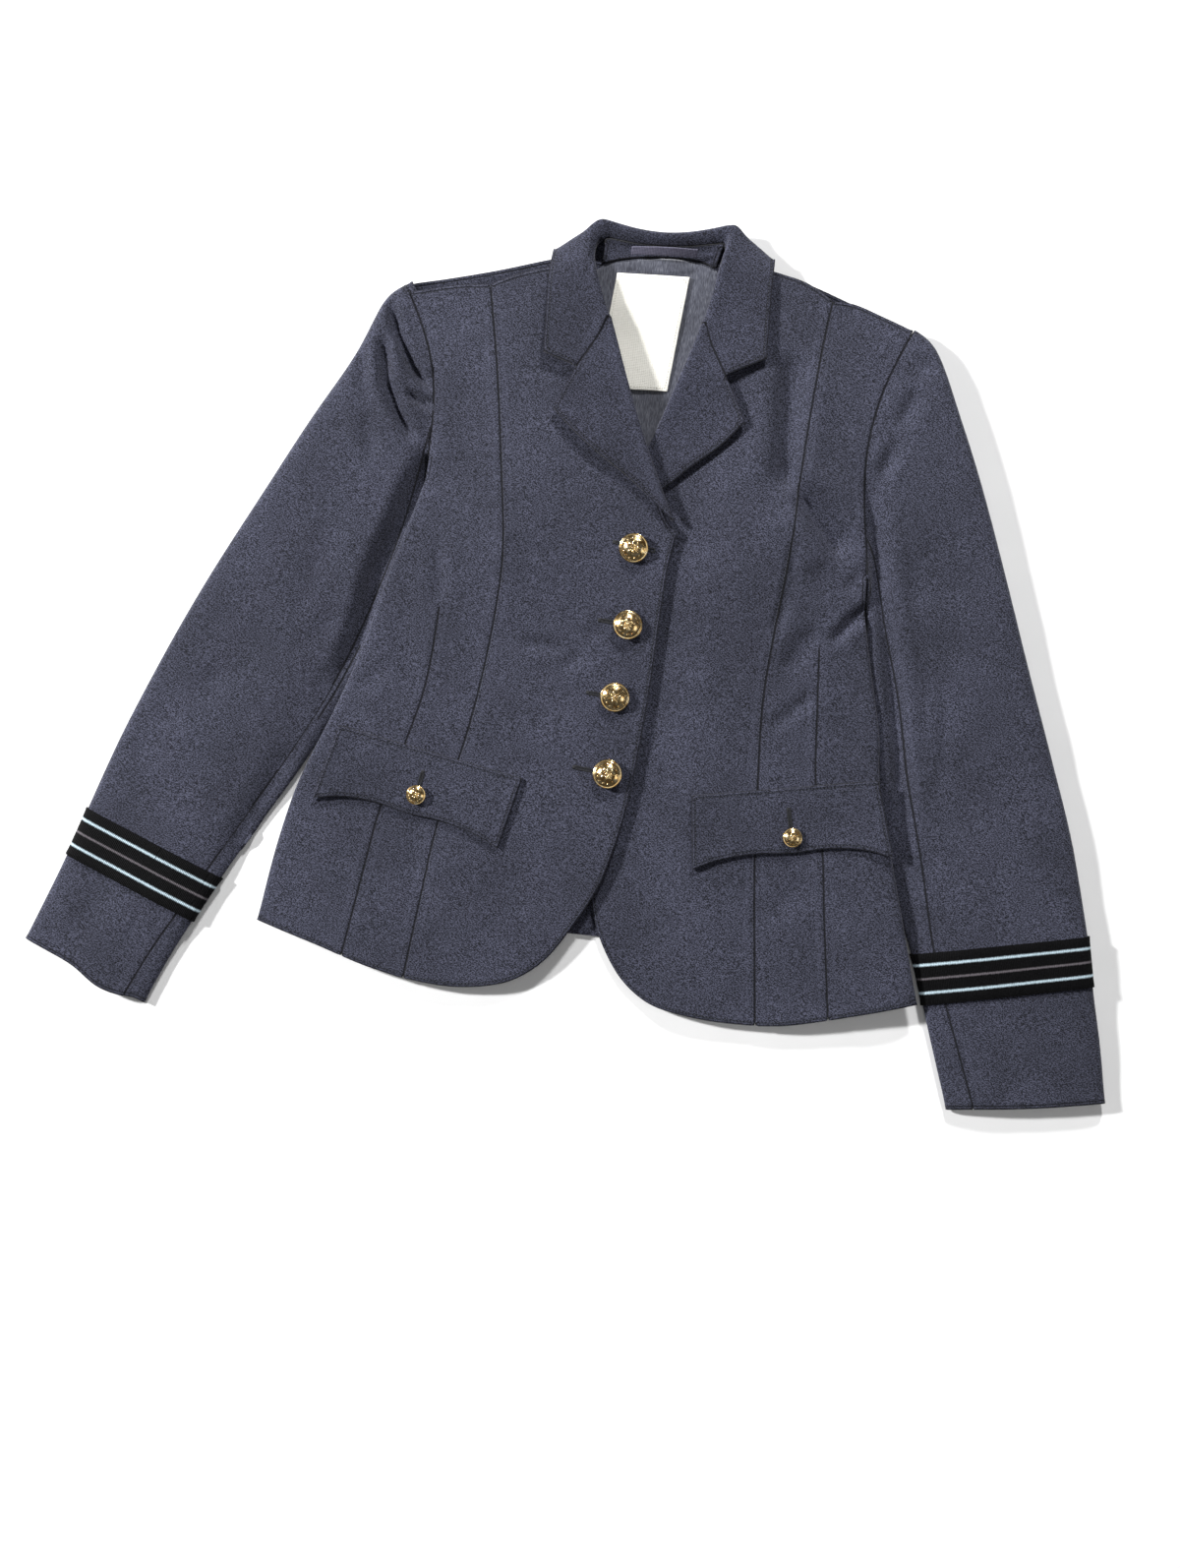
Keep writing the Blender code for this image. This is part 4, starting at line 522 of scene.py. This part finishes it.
def write_distances(made, loops):
    """Point attributes: how far each point is from the nearest free edge and from the nearest seam."""
    for name, wanted in (("edge", False), ("seam", True)):
        points = []
        for loop in loops:
            for (a, _, seam_a), (b, _, seam_b) in zip(loop, loop[1:] + loop[:1]):
                if seam_a == wanted and seam_b == wanted and (b - a).length < 0.02:
                    points += [a, a.lerp(b, 1 / 3), a.lerp(b, 2 / 3), b]
        values = [FAR] * len(made.data.vertices)
        if points:
            tree = KDTree(len(points))
            for i, point in enumerate(points):
                tree.insert(point, i)
            tree.balance()
            values = [min(FAR, tree.find(vertex.co)[2]) for vertex in made.data.vertices]
        made.data.attributes.new(name, "FLOAT", "POINT").data.foreach_set("value", values)


# ---------------------------------------------------------------- creases

def crease_height(points, creases):
    """Height in metres that creases add at the points, an array of x and y."""
    added = np.zeros(len(points))
    for half, deep, *places in creases:
        line = np.array(places, float).reshape(-1, 2) * MM
        nearest = np.full(len(points), FAR)
        along = np.zeros(len(points))
        done = 0.0
        for start, end in zip(line, line[1:]):
            run = end - start
            length = float(np.hypot(*run))
            share = np.clip((points - start) @ run / length ** 2, 0, 1)
            off = points - start - share[:, None] * run
            distance = np.hypot(off[:, 0], off[:, 1])
            closer = distance < nearest
            nearest = np.where(closer, distance, nearest)
            along = np.where(closer, done + share * length, along)
            done += length
        ends = np.clip(np.minimum(along, done - along) / (0.28 * done) + 0.12, 0, 1)
        ends = ends * ends * (3 - 2 * ends)
        across = nearest / (half * MM)
        shape = np.exp(-across ** 2) - RIDGE * np.exp(-((across - 2.1) / 1.1) ** 2)
        added -= deep * MM * ends * shape
    return added


def uneven(point, seed):
    """The cloth's own soft unevenness at a point, in metres."""
    total = 0.0
    for wave, high in UNEVEN:
        total += high * MM * noise.noise(Vector((point[0], point[1], seed)) / (wave * MM))
    return total


def crease_sheet(name, made, soft=1.0):
    """Moves the sheet's upper side by its creases and unevenness, and its underside by a little of the latter."""
    mesh = made.data
    count = len(mesh.vertices)
    points = np.empty(count * 3)
    mesh.vertices.foreach_get("co", points)
    points = points.reshape(-1, 3)
    normals = np.empty(count * 3)
    mesh.vertices.foreach_get("normal", normals)
    upper = np.clip(normals.reshape(-1, 3)[:, 2] * 1.5 + 0.2, 0, 1)
    lower = np.clip(-normals.reshape(-1, 3)[:, 2] * 1.5 + 0.2, 0, 1)
    sleeve = name.startswith(("sleeve", "cuff"))
    seed = 0.31 if sleeve else 0.0
    waves = np.array([uneven(point, seed) for point in points]) * soft
    shape = crease_height(points[:, :2], SLEEVE_CREASES if sleeve else BODY_CREASES)
    points[:, 2] += upper * (shape + waves)
    under = np.abs(waves) * UNDER_SHARE * np.clip((0.10 - points[:, 1]) / 0.04, 0, 1)
    points[:, 2] += lower * under
    points[:, 2] = np.maximum(points[:, 2], 0.0)
    mesh.vertices.foreach_set("co", points.ravel())
    mesh.update()


def wrinkle_lining(made):
    """A pressed centre pleat and soft drag lines in the lining."""
    for vertex in made.data.vertices:
        x, y = vertex.co.x + 0.004, vertex.co.y
        pleat = 0.9 * MM / (1 + math.exp(-(x - 0.0) / (0.7 * MM))) * math.exp(-max(0.0, x) / (14 * MM))
        drag = 0.5 * MM * math.sin(x / (5.2 * MM) + y * 26) * math.exp(-((y - 0.120) / 0.045) ** 2)
        vertex.co.z += pleat + drag + 0.5 * MM * noise.noise(Vector((x, y * 0.5, 0.7)) / 0.012)


# ---------------------------------------------------------------- stitches

def capsule(centre, along, up, length, half, flat=0.8):
    """Points and faces of one stitch: a thread length with rounded ends."""
    across = along.cross(up).normalized()
    points = [centre - along * length / 2]
    for end in (-0.32, 0.32):
        for i in range(6):
            turn = math.tau * i / 6
            out = across * half * math.cos(turn) + up * half * flat * math.sin(turn)
            points.append(centre + along * length * end + out)
    points.append(centre + along * length / 2)
    faces = [(0, 1 + (i + 1) % 6, 1 + i) for i in range(6)]
    faces += [(1 + i, 1 + (i + 1) % 6, 7 + (i + 1) % 6, 7 + i) for i in range(6)]
    faces += [(13, 7 + i, 7 + (i + 1) % 6) for i in range(6)]
    return points, faces


def stitched(name, stitches, finish, slot_name):
    """One object from many stitches, each (centre, along, up, length, half width)."""
    points, faces = [], []
    for stitch in stitches:
        more, corners = capsule(*stitch)
        faces += [tuple(len(points) + i for i in face) for face in corners]
        points += more
    mesh = bpy.data.meshes.new(name)
    mesh.from_pydata([tuple(p) for p in points], [], faces)
    made = bpy.data.objects.new(name, mesh)
    bpy.context.scene.collection.objects.link(made)
    return finish_piece(made, finish, slot_name)


def offset_line(line, distance):
    """A line of (place, inward) moved inwards in x and y, without the points that a tight corner folds back."""
    flat = np.array([place.xy for place, _ in line])
    inward = np.array([direction.xy for _, direction in line])
    run = np.diff(flat, axis=0)
    length = np.hypot(run[:, 0], run[:, 1])
    run = run[length > 1e-7] / length[length > 1e-7][:, None]
    flat = np.vstack([flat[:-1][length > 1e-7], flat[-1:]])
    inward = np.vstack([inward[:-1][length > 1e-7], inward[-1:]])
    normal = np.stack([-run[:, 1], run[:, 0]], axis=1)
    if (normal * inward[:-1]).sum() < 0:
        normal = -normal
    first = np.vstack([normal[:1], normal])
    second = np.vstack([normal, normal[-1:]])
    middle = first + second
    middle /= np.maximum(np.hypot(middle[:, 0], middle[:, 1]), 0.3)[:, None]
    stretch = 1 / np.maximum(0.35, (middle * first).sum(axis=1))
    moved = flat + middle * distance * stretch[:, None]
    start, step = flat[:-1], np.diff(flat, axis=0)
    squared = (step * step).sum(axis=1)
    kept = []
    for point in moved:
        share = np.clip(((point - start) * step).sum(axis=1) / squared, 0, 1)
        nearest = np.hypot(*(start + step * share[:, None] - point).T).min()
        if nearest > 0.93 * distance:
            kept.append(point)
    return np.array(kept)


def stitch_line(sheet, line, pitch=PITCH, length=STITCH, half=THREAD):
    """Stitches along a line of x and y, laid on the sheet below it."""
    tree = BVHTree.FromPolygons([v.co for v in sheet.data.vertices], [p.vertices for p in sheet.data.polygons])
    steps = np.hypot(*np.diff(line, axis=0).T)
    runs = np.split(np.arange(len(line)), np.where(steps > 6 * MM)[0] + 1)
    stitches = []
    for run in runs:
        if len(run) < 4:
            continue
        part = line[run]
        lengths = np.concatenate([[0.0], np.cumsum(np.hypot(*np.diff(part, axis=0).T))])
        for i in range(int(lengths[-1] / pitch)):
            ends = []
            for at in ((i + 0.5) * pitch - length / 2, (i + 0.5) * pitch + length / 2):
                x, y = (float(np.interp(at, lengths, part[:, axis])) for axis in (0, 1))
                place, normal, _, _ = tree.ray_cast(Vector((x, y, 0.1)), Vector((0, 0, -1)))
                ends.append((place, normal))
            if ends[0][0] is None or ends[1][0] is None:
                continue
            along = ends[1][0] - ends[0][0]
            if not length * 0.4 < along.length < length * 1.5:
                continue
            up = ends[0][1] if ends[0][1].z > 0 else -ends[0][1]
            stitches.append(((ends[0][0] + ends[1][0]) / 2 + up * half * 0.35, along.normalized(), up, length, half))
    return stitches


def rim_lines(sheet, loops, seam, keep, least_up=0.35):
    """Runs of the boundary that face up and pass the keep test, as lists of (place, inward).

    seam is True for seams, False for free edges and None for both.
    """
    tree = KDTree(len(sheet.data.vertices))
    for i, vertex in enumerate(sheet.data.vertices):
        tree.insert(vertex.co, i)
    tree.balance()
    lines = []
    for loop in loops:
        flags = []
        for place, _, is_seam in loop:
            vertex = sheet.data.vertices[tree.find(place)[1]]
            flags.append(seam in (None, is_seam) and vertex.normal.z > least_up and keep(place))
        if all(flags):
            lines.append([(p, n) for p, n, _ in loop + loop[:1]])
            continue
        if not any(flags):
            continue
        start = flags.index(False)
        order = [(start + i) % len(loop) for i in range(len(loop))]
        run = []
        for i in order + [order[0]]:
            if flags[i]:
                run.append(loop[i][:2])
            else:
                if len(run) > 8:
                    lines.append(run)
                run = []
    return lines


# ---------------------------------------------------------------- seam allowances

def add_allowance(name, line, wide, drop):
    """A strip of cloth under a seam: it runs from inside the panel's edge to beyond it."""
    points, faces = [], []
    for place, inward in line:
        for reach in (0.4, -0.3, -1.0):
            points.append(place + inward * wide * reach - Vector((0, 0, drop)))
    for i in range(len(line) - 1):
        for j in range(2):
            faces.append((3 * i + j, 3 * i + j + 1, 3 * i + j + 4, 3 * i + j + 3))
    mesh = bpy.data.meshes.new(name)
    mesh.from_pydata([tuple(p) for p in points], [], faces)
    made = bpy.data.objects.new(name, mesh)
    bpy.context.scene.collection.objects.link(made)
    for attribute_name in ("edge", "seam"):
        made.data.attributes.new(attribute_name, "FLOAT", "POINT").data.foreach_set("value", [FAR] * len(points))
    if sum(polygon.normal.z for polygon in mesh.polygons) < 0:
        mesh.flip_normals()
    thicken(made, ALLOWANCE_CLOTH, 0)
    return finish_piece(made, WOOL, "wool_cloth")


# ---------------------------------------------------------------- buttonholes

def add_buttonhole(name, sheet, tail, head, eye):
    """A keyhole buttonhole from its barred tail to its eye: worked thread round a slit, laid on the cloth."""
    tree = BVHTree.FromPolygons([v.co for v in sheet.data.vertices], [p.vertices for p in sheet.data.polygons])
    tail, head = Vector((*tail, 0)) * MM, Vector((*head, 0)) * MM
    run = (head - tail).normalized()
    across = Vector((-run.y, run.x, 0))
    reach = (head - tail).length
    bars = []
    side = 1.1 * MM
    count = int(reach / (0.62 * MM))
    for sign in (-1, 1):
        for i in range(count):
            bars.append((tail + run * reach * (i + 0.5) / count + across * sign * side, across, 1.5 * MM))
    for i in range(16):
        turn = math.tau * (i + 0.5) / 20 - math.tau * 8 / 20
        out = run * math.cos(turn) + across * math.sin(turn)
        bars.append((head + run * eye * 0.6 + out * eye, out, 1.5 * MM))
    for i in range(5):
        bars.append((tail - run * (0.3 + 0.42 * i) * MM, across, 3.4 * MM))
    stitches = []
    for centre, along, length in bars:
        place, normal, _, _ = tree.ray_cast(centre + Vector((0, 0, 0.1)), Vector((0, 0, -1)))
        if place is None:
            continue
        up = normal if normal.z > 0 else -normal
        along = (along - up * along.dot(up)).normalized()
        stitches.append((place + up * 0.12 * MM, along, up, length, 0.31 * MM))
    worked = stitched(name, stitches, BUTTONHOLE_THREAD, "wool_cloth")
    # Painted shade: a strip of near-black stitches laid along the slit stands in for the shadow in the cut.
    slit = []
    for i in range(int(reach / (0.8 * MM))):
        above = tail + run * (i + 0.5) * 0.8 * MM + Vector((0, 0, 0.1))
        place, normal, _, _ = tree.ray_cast(above, Vector((0, 0, -1)))
        if place is not None:
            up = normal if normal.z > 0 else -normal
            slit.append((place + up * 0.04 * MM, (run - up * run.dot(up)).normalized(), up, 1.5 * MM, 0.26 * MM))
    stitched(name + "_slit", slit, SLIT_SHADE, "wool_cloth")
    return worked


# ---------------------------------------------------------------- buttons

BUTTON_RADIUS = 12 * MM
DOME = (   # inset and rise in mm
    (0.9, 0.45), (0.6, -0.35), (0.9, 0.95), (1.4, 1.15), (1.9, 1.05), (2.2, 0.75), (2.4, 0.45))


def select_faces(made, test):
    """Selects the faces of the active mesh in edit mode that pass the test on their centre and normal."""
    cage = bmesh.from_edit_mesh(made.data)
    for face in cage.faces:
        face.select_set(test(face.calc_center_median(), face.normal))
    bmesh.update_edit_mesh(made.data)


def mark_hollow(made, value):
    made.data.attributes.new("hollow", "FLOAT", "POINT").data.foreach_set("value", [value] * len(made.data.vertices))


def dome_height(across):
    """The height of the button's dome at a distance from its middle."""
    rows = [(12.0, 3.1)]
    r, z = 12.0, 3.1
    for inset, rise in DOME:
        r, z = r - inset, z + rise
        rows.append((r, z))
    rows.append((0.0, z + 0.15))
    rows.reverse()
    return float(np.interp(across / MM, [row[0] for row in rows], [row[1] for row in rows])) * MM


def add_button_master():
    """A domed button with a shank, a raised rim and an eight-petalled flower in a ring of leaves."""
    bpy.ops.object.select_all(action="DESELECT")
    bpy.ops.mesh.primitive_circle_add(vertices=48, radius=BUTTON_RADIUS * 0.97, fill_type="NGON",
                                      location=(0, 0, 2.2 * MM))
    body = bpy.context.object
    bpy.ops.object.mode_set(mode="EDIT")
    bpy.ops.mesh.select_all(action="SELECT")
    bpy.ops.mesh.extrude_region_move(TRANSFORM_OT_translate={"value": (0, 0, 0.9 * MM)})
    for inset, rise in DOME:
        bpy.ops.mesh.inset(thickness=inset * MM, depth=rise * MM)
    bpy.ops.mesh.merge(type="CENTER")
    bpy.ops.mesh.select_all(action="DESELECT")
    select_faces(body, lambda centre, normal: centre.z < 2.21 * MM and abs(normal.z) > 0.9)
    bpy.ops.mesh.inset(thickness=1.2 * MM, depth=0.5 * MM)
    bpy.ops.mesh.inset(thickness=7.2 * MM, depth=0.3 * MM)
    bpy.ops.mesh.extrude_region_move(TRANSFORM_OT_translate={"value": (0, 0, -1.4 * MM)})
    bpy.ops.mesh.select_all(action="SELECT")
    bpy.ops.mesh.normals_make_consistent(inside=False)
    bpy.ops.object.mode_set(mode="OBJECT")
    smooth = body.modifiers.new("smooth", "SUBSURF")
    smooth.levels = smooth.render_levels = 1
    apply_modifiers(body)
    mark_hollow(body, 0.25)
    parts = [body]

    def add_lump(across, turn, size, heading, high):
        x, y = across * math.cos(turn), across * math.sin(turn)
        bpy.ops.object.select_all(action="DESELECT")
        bpy.ops.mesh.primitive_ico_sphere_add(subdivisions=2, radius=1.0, location=(0, 0, 0))
        lump = bpy.context.object
        slope = (dome_height(across + 0.4 * MM) - dome_height(max(0.0, across - 0.4 * MM))) / (0.8 * MM)
        tilt = (Matrix.Rotation(turn, 4, "Z") @ Matrix.Rotation(-math.atan(slope), 4, "Y")
                @ Matrix.Rotation(-turn, 4, "Z"))
        lump.data.transform(Matrix.Translation((x, y, dome_height(across) + high)) @ tilt
                            @ Matrix.Rotation(heading, 4, "Z") @ Matrix.Diagonal((*size, 1.0)))
        lump.matrix_world = Matrix.Identity(4)
        mark_hollow(lump, 0.0)
        parts.append(lump)

    for i in range(8):
        turn = math.tau * (i + 0.5) / 8
        add_lump(3.6 * MM, turn, (2.2 * MM, 1.0 * MM, 0.34 * MM), turn, 0.05 * MM)
    for i in range(14):
        turn = math.tau * i / 14
        add_lump(8.0 * MM, turn, (1.15 * MM, 0.45 * MM, 0.24 * MM), turn + math.pi / 2 + 0.5, 0.0)
    add_lump(0.0, 0.0, (1.2 * MM, 1.2 * MM, 0.5 * MM), 0.0, 0.2 * MM)
    bpy.ops.object.select_all(action="DESELECT")
    for part in parts:
        part.select_set(True)
    bpy.context.view_layer.objects.active = body
    bpy.ops.object.join()
    place = body.matrix_world.copy()
    body.data.transform(place)
    body.matrix_world = Matrix.Identity(4)
    return body


BUTTON_SET = (   # node, size, turn about its axis, lean in x and y, all angles in degrees
    ("button_front_1", 1.0, 24, 5, -7), ("button_front_2", 1.0, -8, -2, 3), ("button_front_3", 1.0, 40, 4, 5),
    ("button_front_4", 1.0, -30, -3, -5), ("button_flap_right", 0.667, 12, 2, -3),
    ("button_flap_left", 0.667, 51, -2, 2),
)


def add_buttons():
    master = add_button_master()
    for name, size, turn, lean_x, lean_y in BUTTON_SET:
        low, high = (Vector(corner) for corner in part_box(name))
        middle = (low + high) / 2
        mesh = master.data.copy()
        mesh.name = name + "_gilt"
        tilt = Matrix.Rotation(math.radians(lean_x), 4, "X") @ Matrix.Rotation(math.radians(lean_y), 4, "Y")
        mesh.transform(Matrix.Translation((middle.x, middle.y, low.z + 0.1 * MM)) @ tilt
                       @ Matrix.Rotation(math.radians(turn), 4, "Z") @ Matrix.Scale(size, 4))
        made = bpy.data.objects.new(name + "_gilt", mesh)
        bpy.context.scene.collection.objects.link(made)
        finish_piece(made, GILT, "gilt_brass", name)
    bpy.data.objects.remove(master, do_unlink=True)


# ---------------------------------------------------------------- the pieces

WOOL = wool("worsted_barathea", "#040509", "#191A25", "#525466")
# Painted shade: a darker copy of the same barathea, so the lapels and collar look shaded.
SHADED_LAPEL_WOOL = wool("shaded_barathea", "#040408", "#161720", "#4B4D5F")
LINING = satin("viscose_satin", "#33343D", "#4E505B", "#72747D")
HANGER = woven_tape("hanger_tape", "#3E3C4B", "#5A5869", "#777588", 1.2 * MM, 0.6)
LABEL = woven_tape("taffeta_label", "#DAD8CE", "#ECEAE1", "#F6F4EC", 1.6 * MM)
LACE = braid("mohair_braid")
GILT = gilt("gilded_brass")
WOOL_THREAD = thread("top_stitching", "#23252E", "#474A59")
LABEL_THREAD = thread("label_thread", "#B7B5A8", "#DAD8CC")
BUTTONHOLE_THREAD = thread("buttonhole_twist", "#07080C", "#15161D")
# Near-black thread for the painted shade in the buttonhole slits.
SLIT_SHADE = thread("slit_shade", "#050508", "#0C0C10")

FINISH = {"cuff": (LACE, "cuff_lace"), "lining": (LINING, "satin_lining"), "hanger": (HANGER, "satin_lining"),
          "label": (LABEL, "woven_label"), "lapel": (SHADED_LAPEL_WOOL, "wool_cloth"), "collar": (SHADED_LAPEL_WOOL, "wool_cloth")}


def anywhere(place):
    return True


def near_armhole(place):
    """On the upper rim of the armhole or of the sleeve's head."""
    tip = 0.203 if place.x > 0 else 0.211
    return 0.08 < place.y < tip and 0.16 < abs(place.x) < 0.22 and place.z > 0.009


TOP_STITCHING = (   # panel, along seams, distance in from the edge in mm, and where
    ("lapel_right", False, 2.6, anywhere), ("lapel_left", False, 2.6, anywhere),
    ("collar", False, 2.6, lambda p: p.y < 0.262 and abs(p.x) > 0.045),
    ("front_right", False, 2.8, lambda p: p.y < 0.045), ("front_left", False, 2.8, lambda p: p.y < 0.045),
    ("side_right", False, 2.8, lambda p: p.y < -0.25), ("side_left", False, 2.8, lambda p: p.y < -0.25),
    ("front_right", True, 1.4, lambda p: p.y < 0.21 and p.x < -0.09),
    ("front_left", True, 1.4, lambda p: p.y < 0.22 and p.x > 0.10),
    ("pocket_flap_right", False, 2.6, anywhere), ("pocket_flap_left", False, 2.6, anywhere),
    ("pocket_flap_right", False, 6.0, lambda p: p.y > -0.1760 - 0.153 * p.x),
    ("pocket_flap_left", False, 6.0, lambda p: p.y > -0.1803 + 0.190 * p.x),
)

FRONT_HOLES = (((-14.0, 26.6), (14.6, 23.4)), ((-19.0, -34.8), (6.6, -36.4)), ((-22.1, -92.1), (3.4, -93.6)),
               ((-26.6, -151.1), (-1.2, -153.4)))
LACE_JOINT = ((-345.7, -259.1), (-351.5, -277.6))    # where the ends of the braid meet on the right sleeve
FLAP_HOLES = {"right": ((-144.7, -168.3), (-147.6, -185.2)), "left": ((142.7, -166.8), (147.2, -186.8))}


def mark_band(made, loops):
    """Point attributes of the cuff braid: its share across the band from the hem side, and how far along it is."""
    first, second = sorted(loops, key=lambda loop: sum(row[0].y for row in loop) / len(loop))
    trees = []
    for loop in (first, second):
        tree = KDTree(len(loop) * 4)
        for i, (row, after) in enumerate(zip(loop, loop[1:] + loop[:1])):
            for j in range(4):
                tree.insert(row[0].lerp(after[0], j / 4), 4 * i + j)
        tree.balance()
        trees.append(tree)
    lengths = [0.0]
    for row, after in zip(first, first[1:]):
        lengths.append(lengths[-1] + (after[0] - row[0]).length)
    across, along = [], []
    for vertex in made.data.vertices:
        low, high = (tree.find(vertex.co) for tree in trees)
        across.append(low[2] / max(1e-9, low[2] + high[2]))
        at, share = divmod(low[1], 4)
        following = lengths[at + 1] if at + 1 < len(lengths) else lengths[-1] + (first[0][0] - first[-1][0]).length
        along.append(lengths[at] + (following - lengths[at]) * share / 4)
    (x1, y1), (x2, y2) = LACE_JOINT
    run = Vector((x2 - x1, y2 - y1)).normalized()
    joint = []
    for vertex in made.data.vertices:
        off = vertex.co.xy / MM - Vector((x1, y1))
        joint.append(abs(off.cross(run)) * MM if vertex.normal.z > 0 and off.length < 60 else FAR)
    made.data.attributes.new("joint", "FLOAT", "POINT").data.foreach_set("value", joint)
    made.data.attributes.new("across", "FLOAT", "POINT").data.foreach_set("value", across)
    made.data.attributes.new("along", "FLOAT", "POINT").data.foreach_set("value", along)


def add_panels():
    sheets = {name: grow(name + "_cloth", outer_sheet(name, cloth, pick), levels)
              for name, cloth, pick, levels in PANELS}
    rims = sort_rims(sheets)
    close_seams(sheets, rims)
    for name, cloth, _, _ in PANELS:
        made = sheets[name]
        write_distances(made, rims[name])
        if name.startswith("cuff"):
            mark_band(made, rims[name])
        if name == "lining":
            wrinkle_lining(made)
        elif name not in ("label", "hanger_loop", "collar_stand"):
            crease_sheet(name, made)
    for panel, seam, distance, keep in TOP_STITCHING:
        stitches = []
        for line in rim_lines(sheets[panel], rims[panel], seam, keep):
            moved = offset_line(line, distance * MM)
            if len(moved) > 4:
                stitches += stitch_line(sheets[panel], moved)
        if stitches:
            row = "_seam" if seam else "_edge" if distance < 4 else "_top"
            stitched("stitching_" + panel + row, stitches, WOOL_THREAD, "wool_cloth")
    for side in SIDES:
        for panel, sign in (("side_", -1), ("sleeve_top_", 1)):
            lines = rim_lines(sheets[panel + side], rims[panel + side], None, near_armhole, -1.0)
            line = [row for row in max(lines, key=len) if row[1].x * SIDES[side] * sign > 0.3]
            strip = add_allowance("allowance_" + panel + side, line, ALLOWANCE, ALLOWANCE_DROP)
    for i, (tail, head) in enumerate(FRONT_HOLES):
        add_buttonhole(f"buttonhole_{i + 1}", sheets["front_right"], tail, head, 1.5 * MM)
    for side, (tail, head) in FLAP_HOLES.items():
        add_buttonhole("buttonhole_flap_" + side, sheets["pocket_flap_" + side], tail, head, 1.1 * MM)
    label_edge = rim_lines(sheets["label"], rims["label"], False, anywhere)
    stitches = []
    for line in label_edge:
        stitches += stitch_line(sheets["label"], offset_line(line, 2.4 * MM), 2.2 * MM, 1.5 * MM, 0.22 * MM)
    stitched("stitching_label", stitches, LABEL_THREAD, "woven_label")
    for name, cloth, _, _ in PANELS:
        thicken(sheets[name], cloth)
        finish, slot_name = next((v for k, v in FINISH.items() if name.startswith(k)), (WOOL, "wool_cloth"))
        finish_piece(sheets[name], finish, slot_name, name)


# ---------------------------------------------------------------- stage

LENS = 46.6                 # mm
CAMERA_TURN = 6.1           # degrees that the tunic is turned in view
CAMERA_PLACE = (-13.8 * MM, -162.8 * MM, 1600 * MM)
ROOM_LIGHT = 0.10
LAMPS = (   # name, place and width in metres, watts
    ("left_key", (-3.6, 0.9, 1.9), 0.35, 300.0), ("back_key", (0.4, 3.4, 1.75), 0.4, 160.0),
    ("right_fill", (3.0, -0.6, 2.0), 1.5, 14.0), ("top_fill", (0.0, -0.3, 3.0), 1.5, 8.0),
)


def add_stage():
    bpy.ops.object.select_all(action="DESELECT")
    bpy.ops.mesh.primitive_plane_add(size=6.0, location=(0, 0, -0.2 * MM))
    floor = bpy.context.object
    floor.name = "floor"
    floor.data.materials.append(studio_floor("white_card"))
    camera = bpy.data.cameras.new("camera")
    camera.lens = LENS
    camera.sensor_width = 36.0
    holder = bpy.data.objects.new("camera", camera)
    bpy.context.scene.collection.objects.link(holder)
    bpy.context.scene.camera = holder
    turn = math.radians(CAMERA_TURN)
    up = Vector((-math.sin(turn), math.cos(turn), 0))
    out = Vector((0, 0, 1))
    right = up.cross(out)
    aim = Matrix((right, up, out)).transposed().to_4x4()
    holder.matrix_world = Matrix.Translation(CAMERA_PLACE) @ aim
    for label, place, size, power in LAMPS:
        light = bpy.data.lights.new(label, "AREA")
        light.size = size
        light.energy = power
        lamp = bpy.data.objects.new(label, light)
        bpy.context.scene.collection.objects.link(lamp)
        lamp.location = place
        lamp.rotation_euler = (Vector((0, -0.1, 0)) - Vector(place)).to_track_quat("-Z", "Y").to_euler()
    world = bpy.data.worlds.new("soft_room")
    world.use_nodes = True
    world.node_tree.nodes["Background"].inputs[0].default_value = (1, 1, 1, 1)
    world.node_tree.nodes["Background"].inputs[1].default_value = ROOM_LIGHT
    bpy.context.scene.world = world
    bpy.context.scene.view_settings.view_transform = "Standard"


add_panels()
add_buttons()
add_stage()
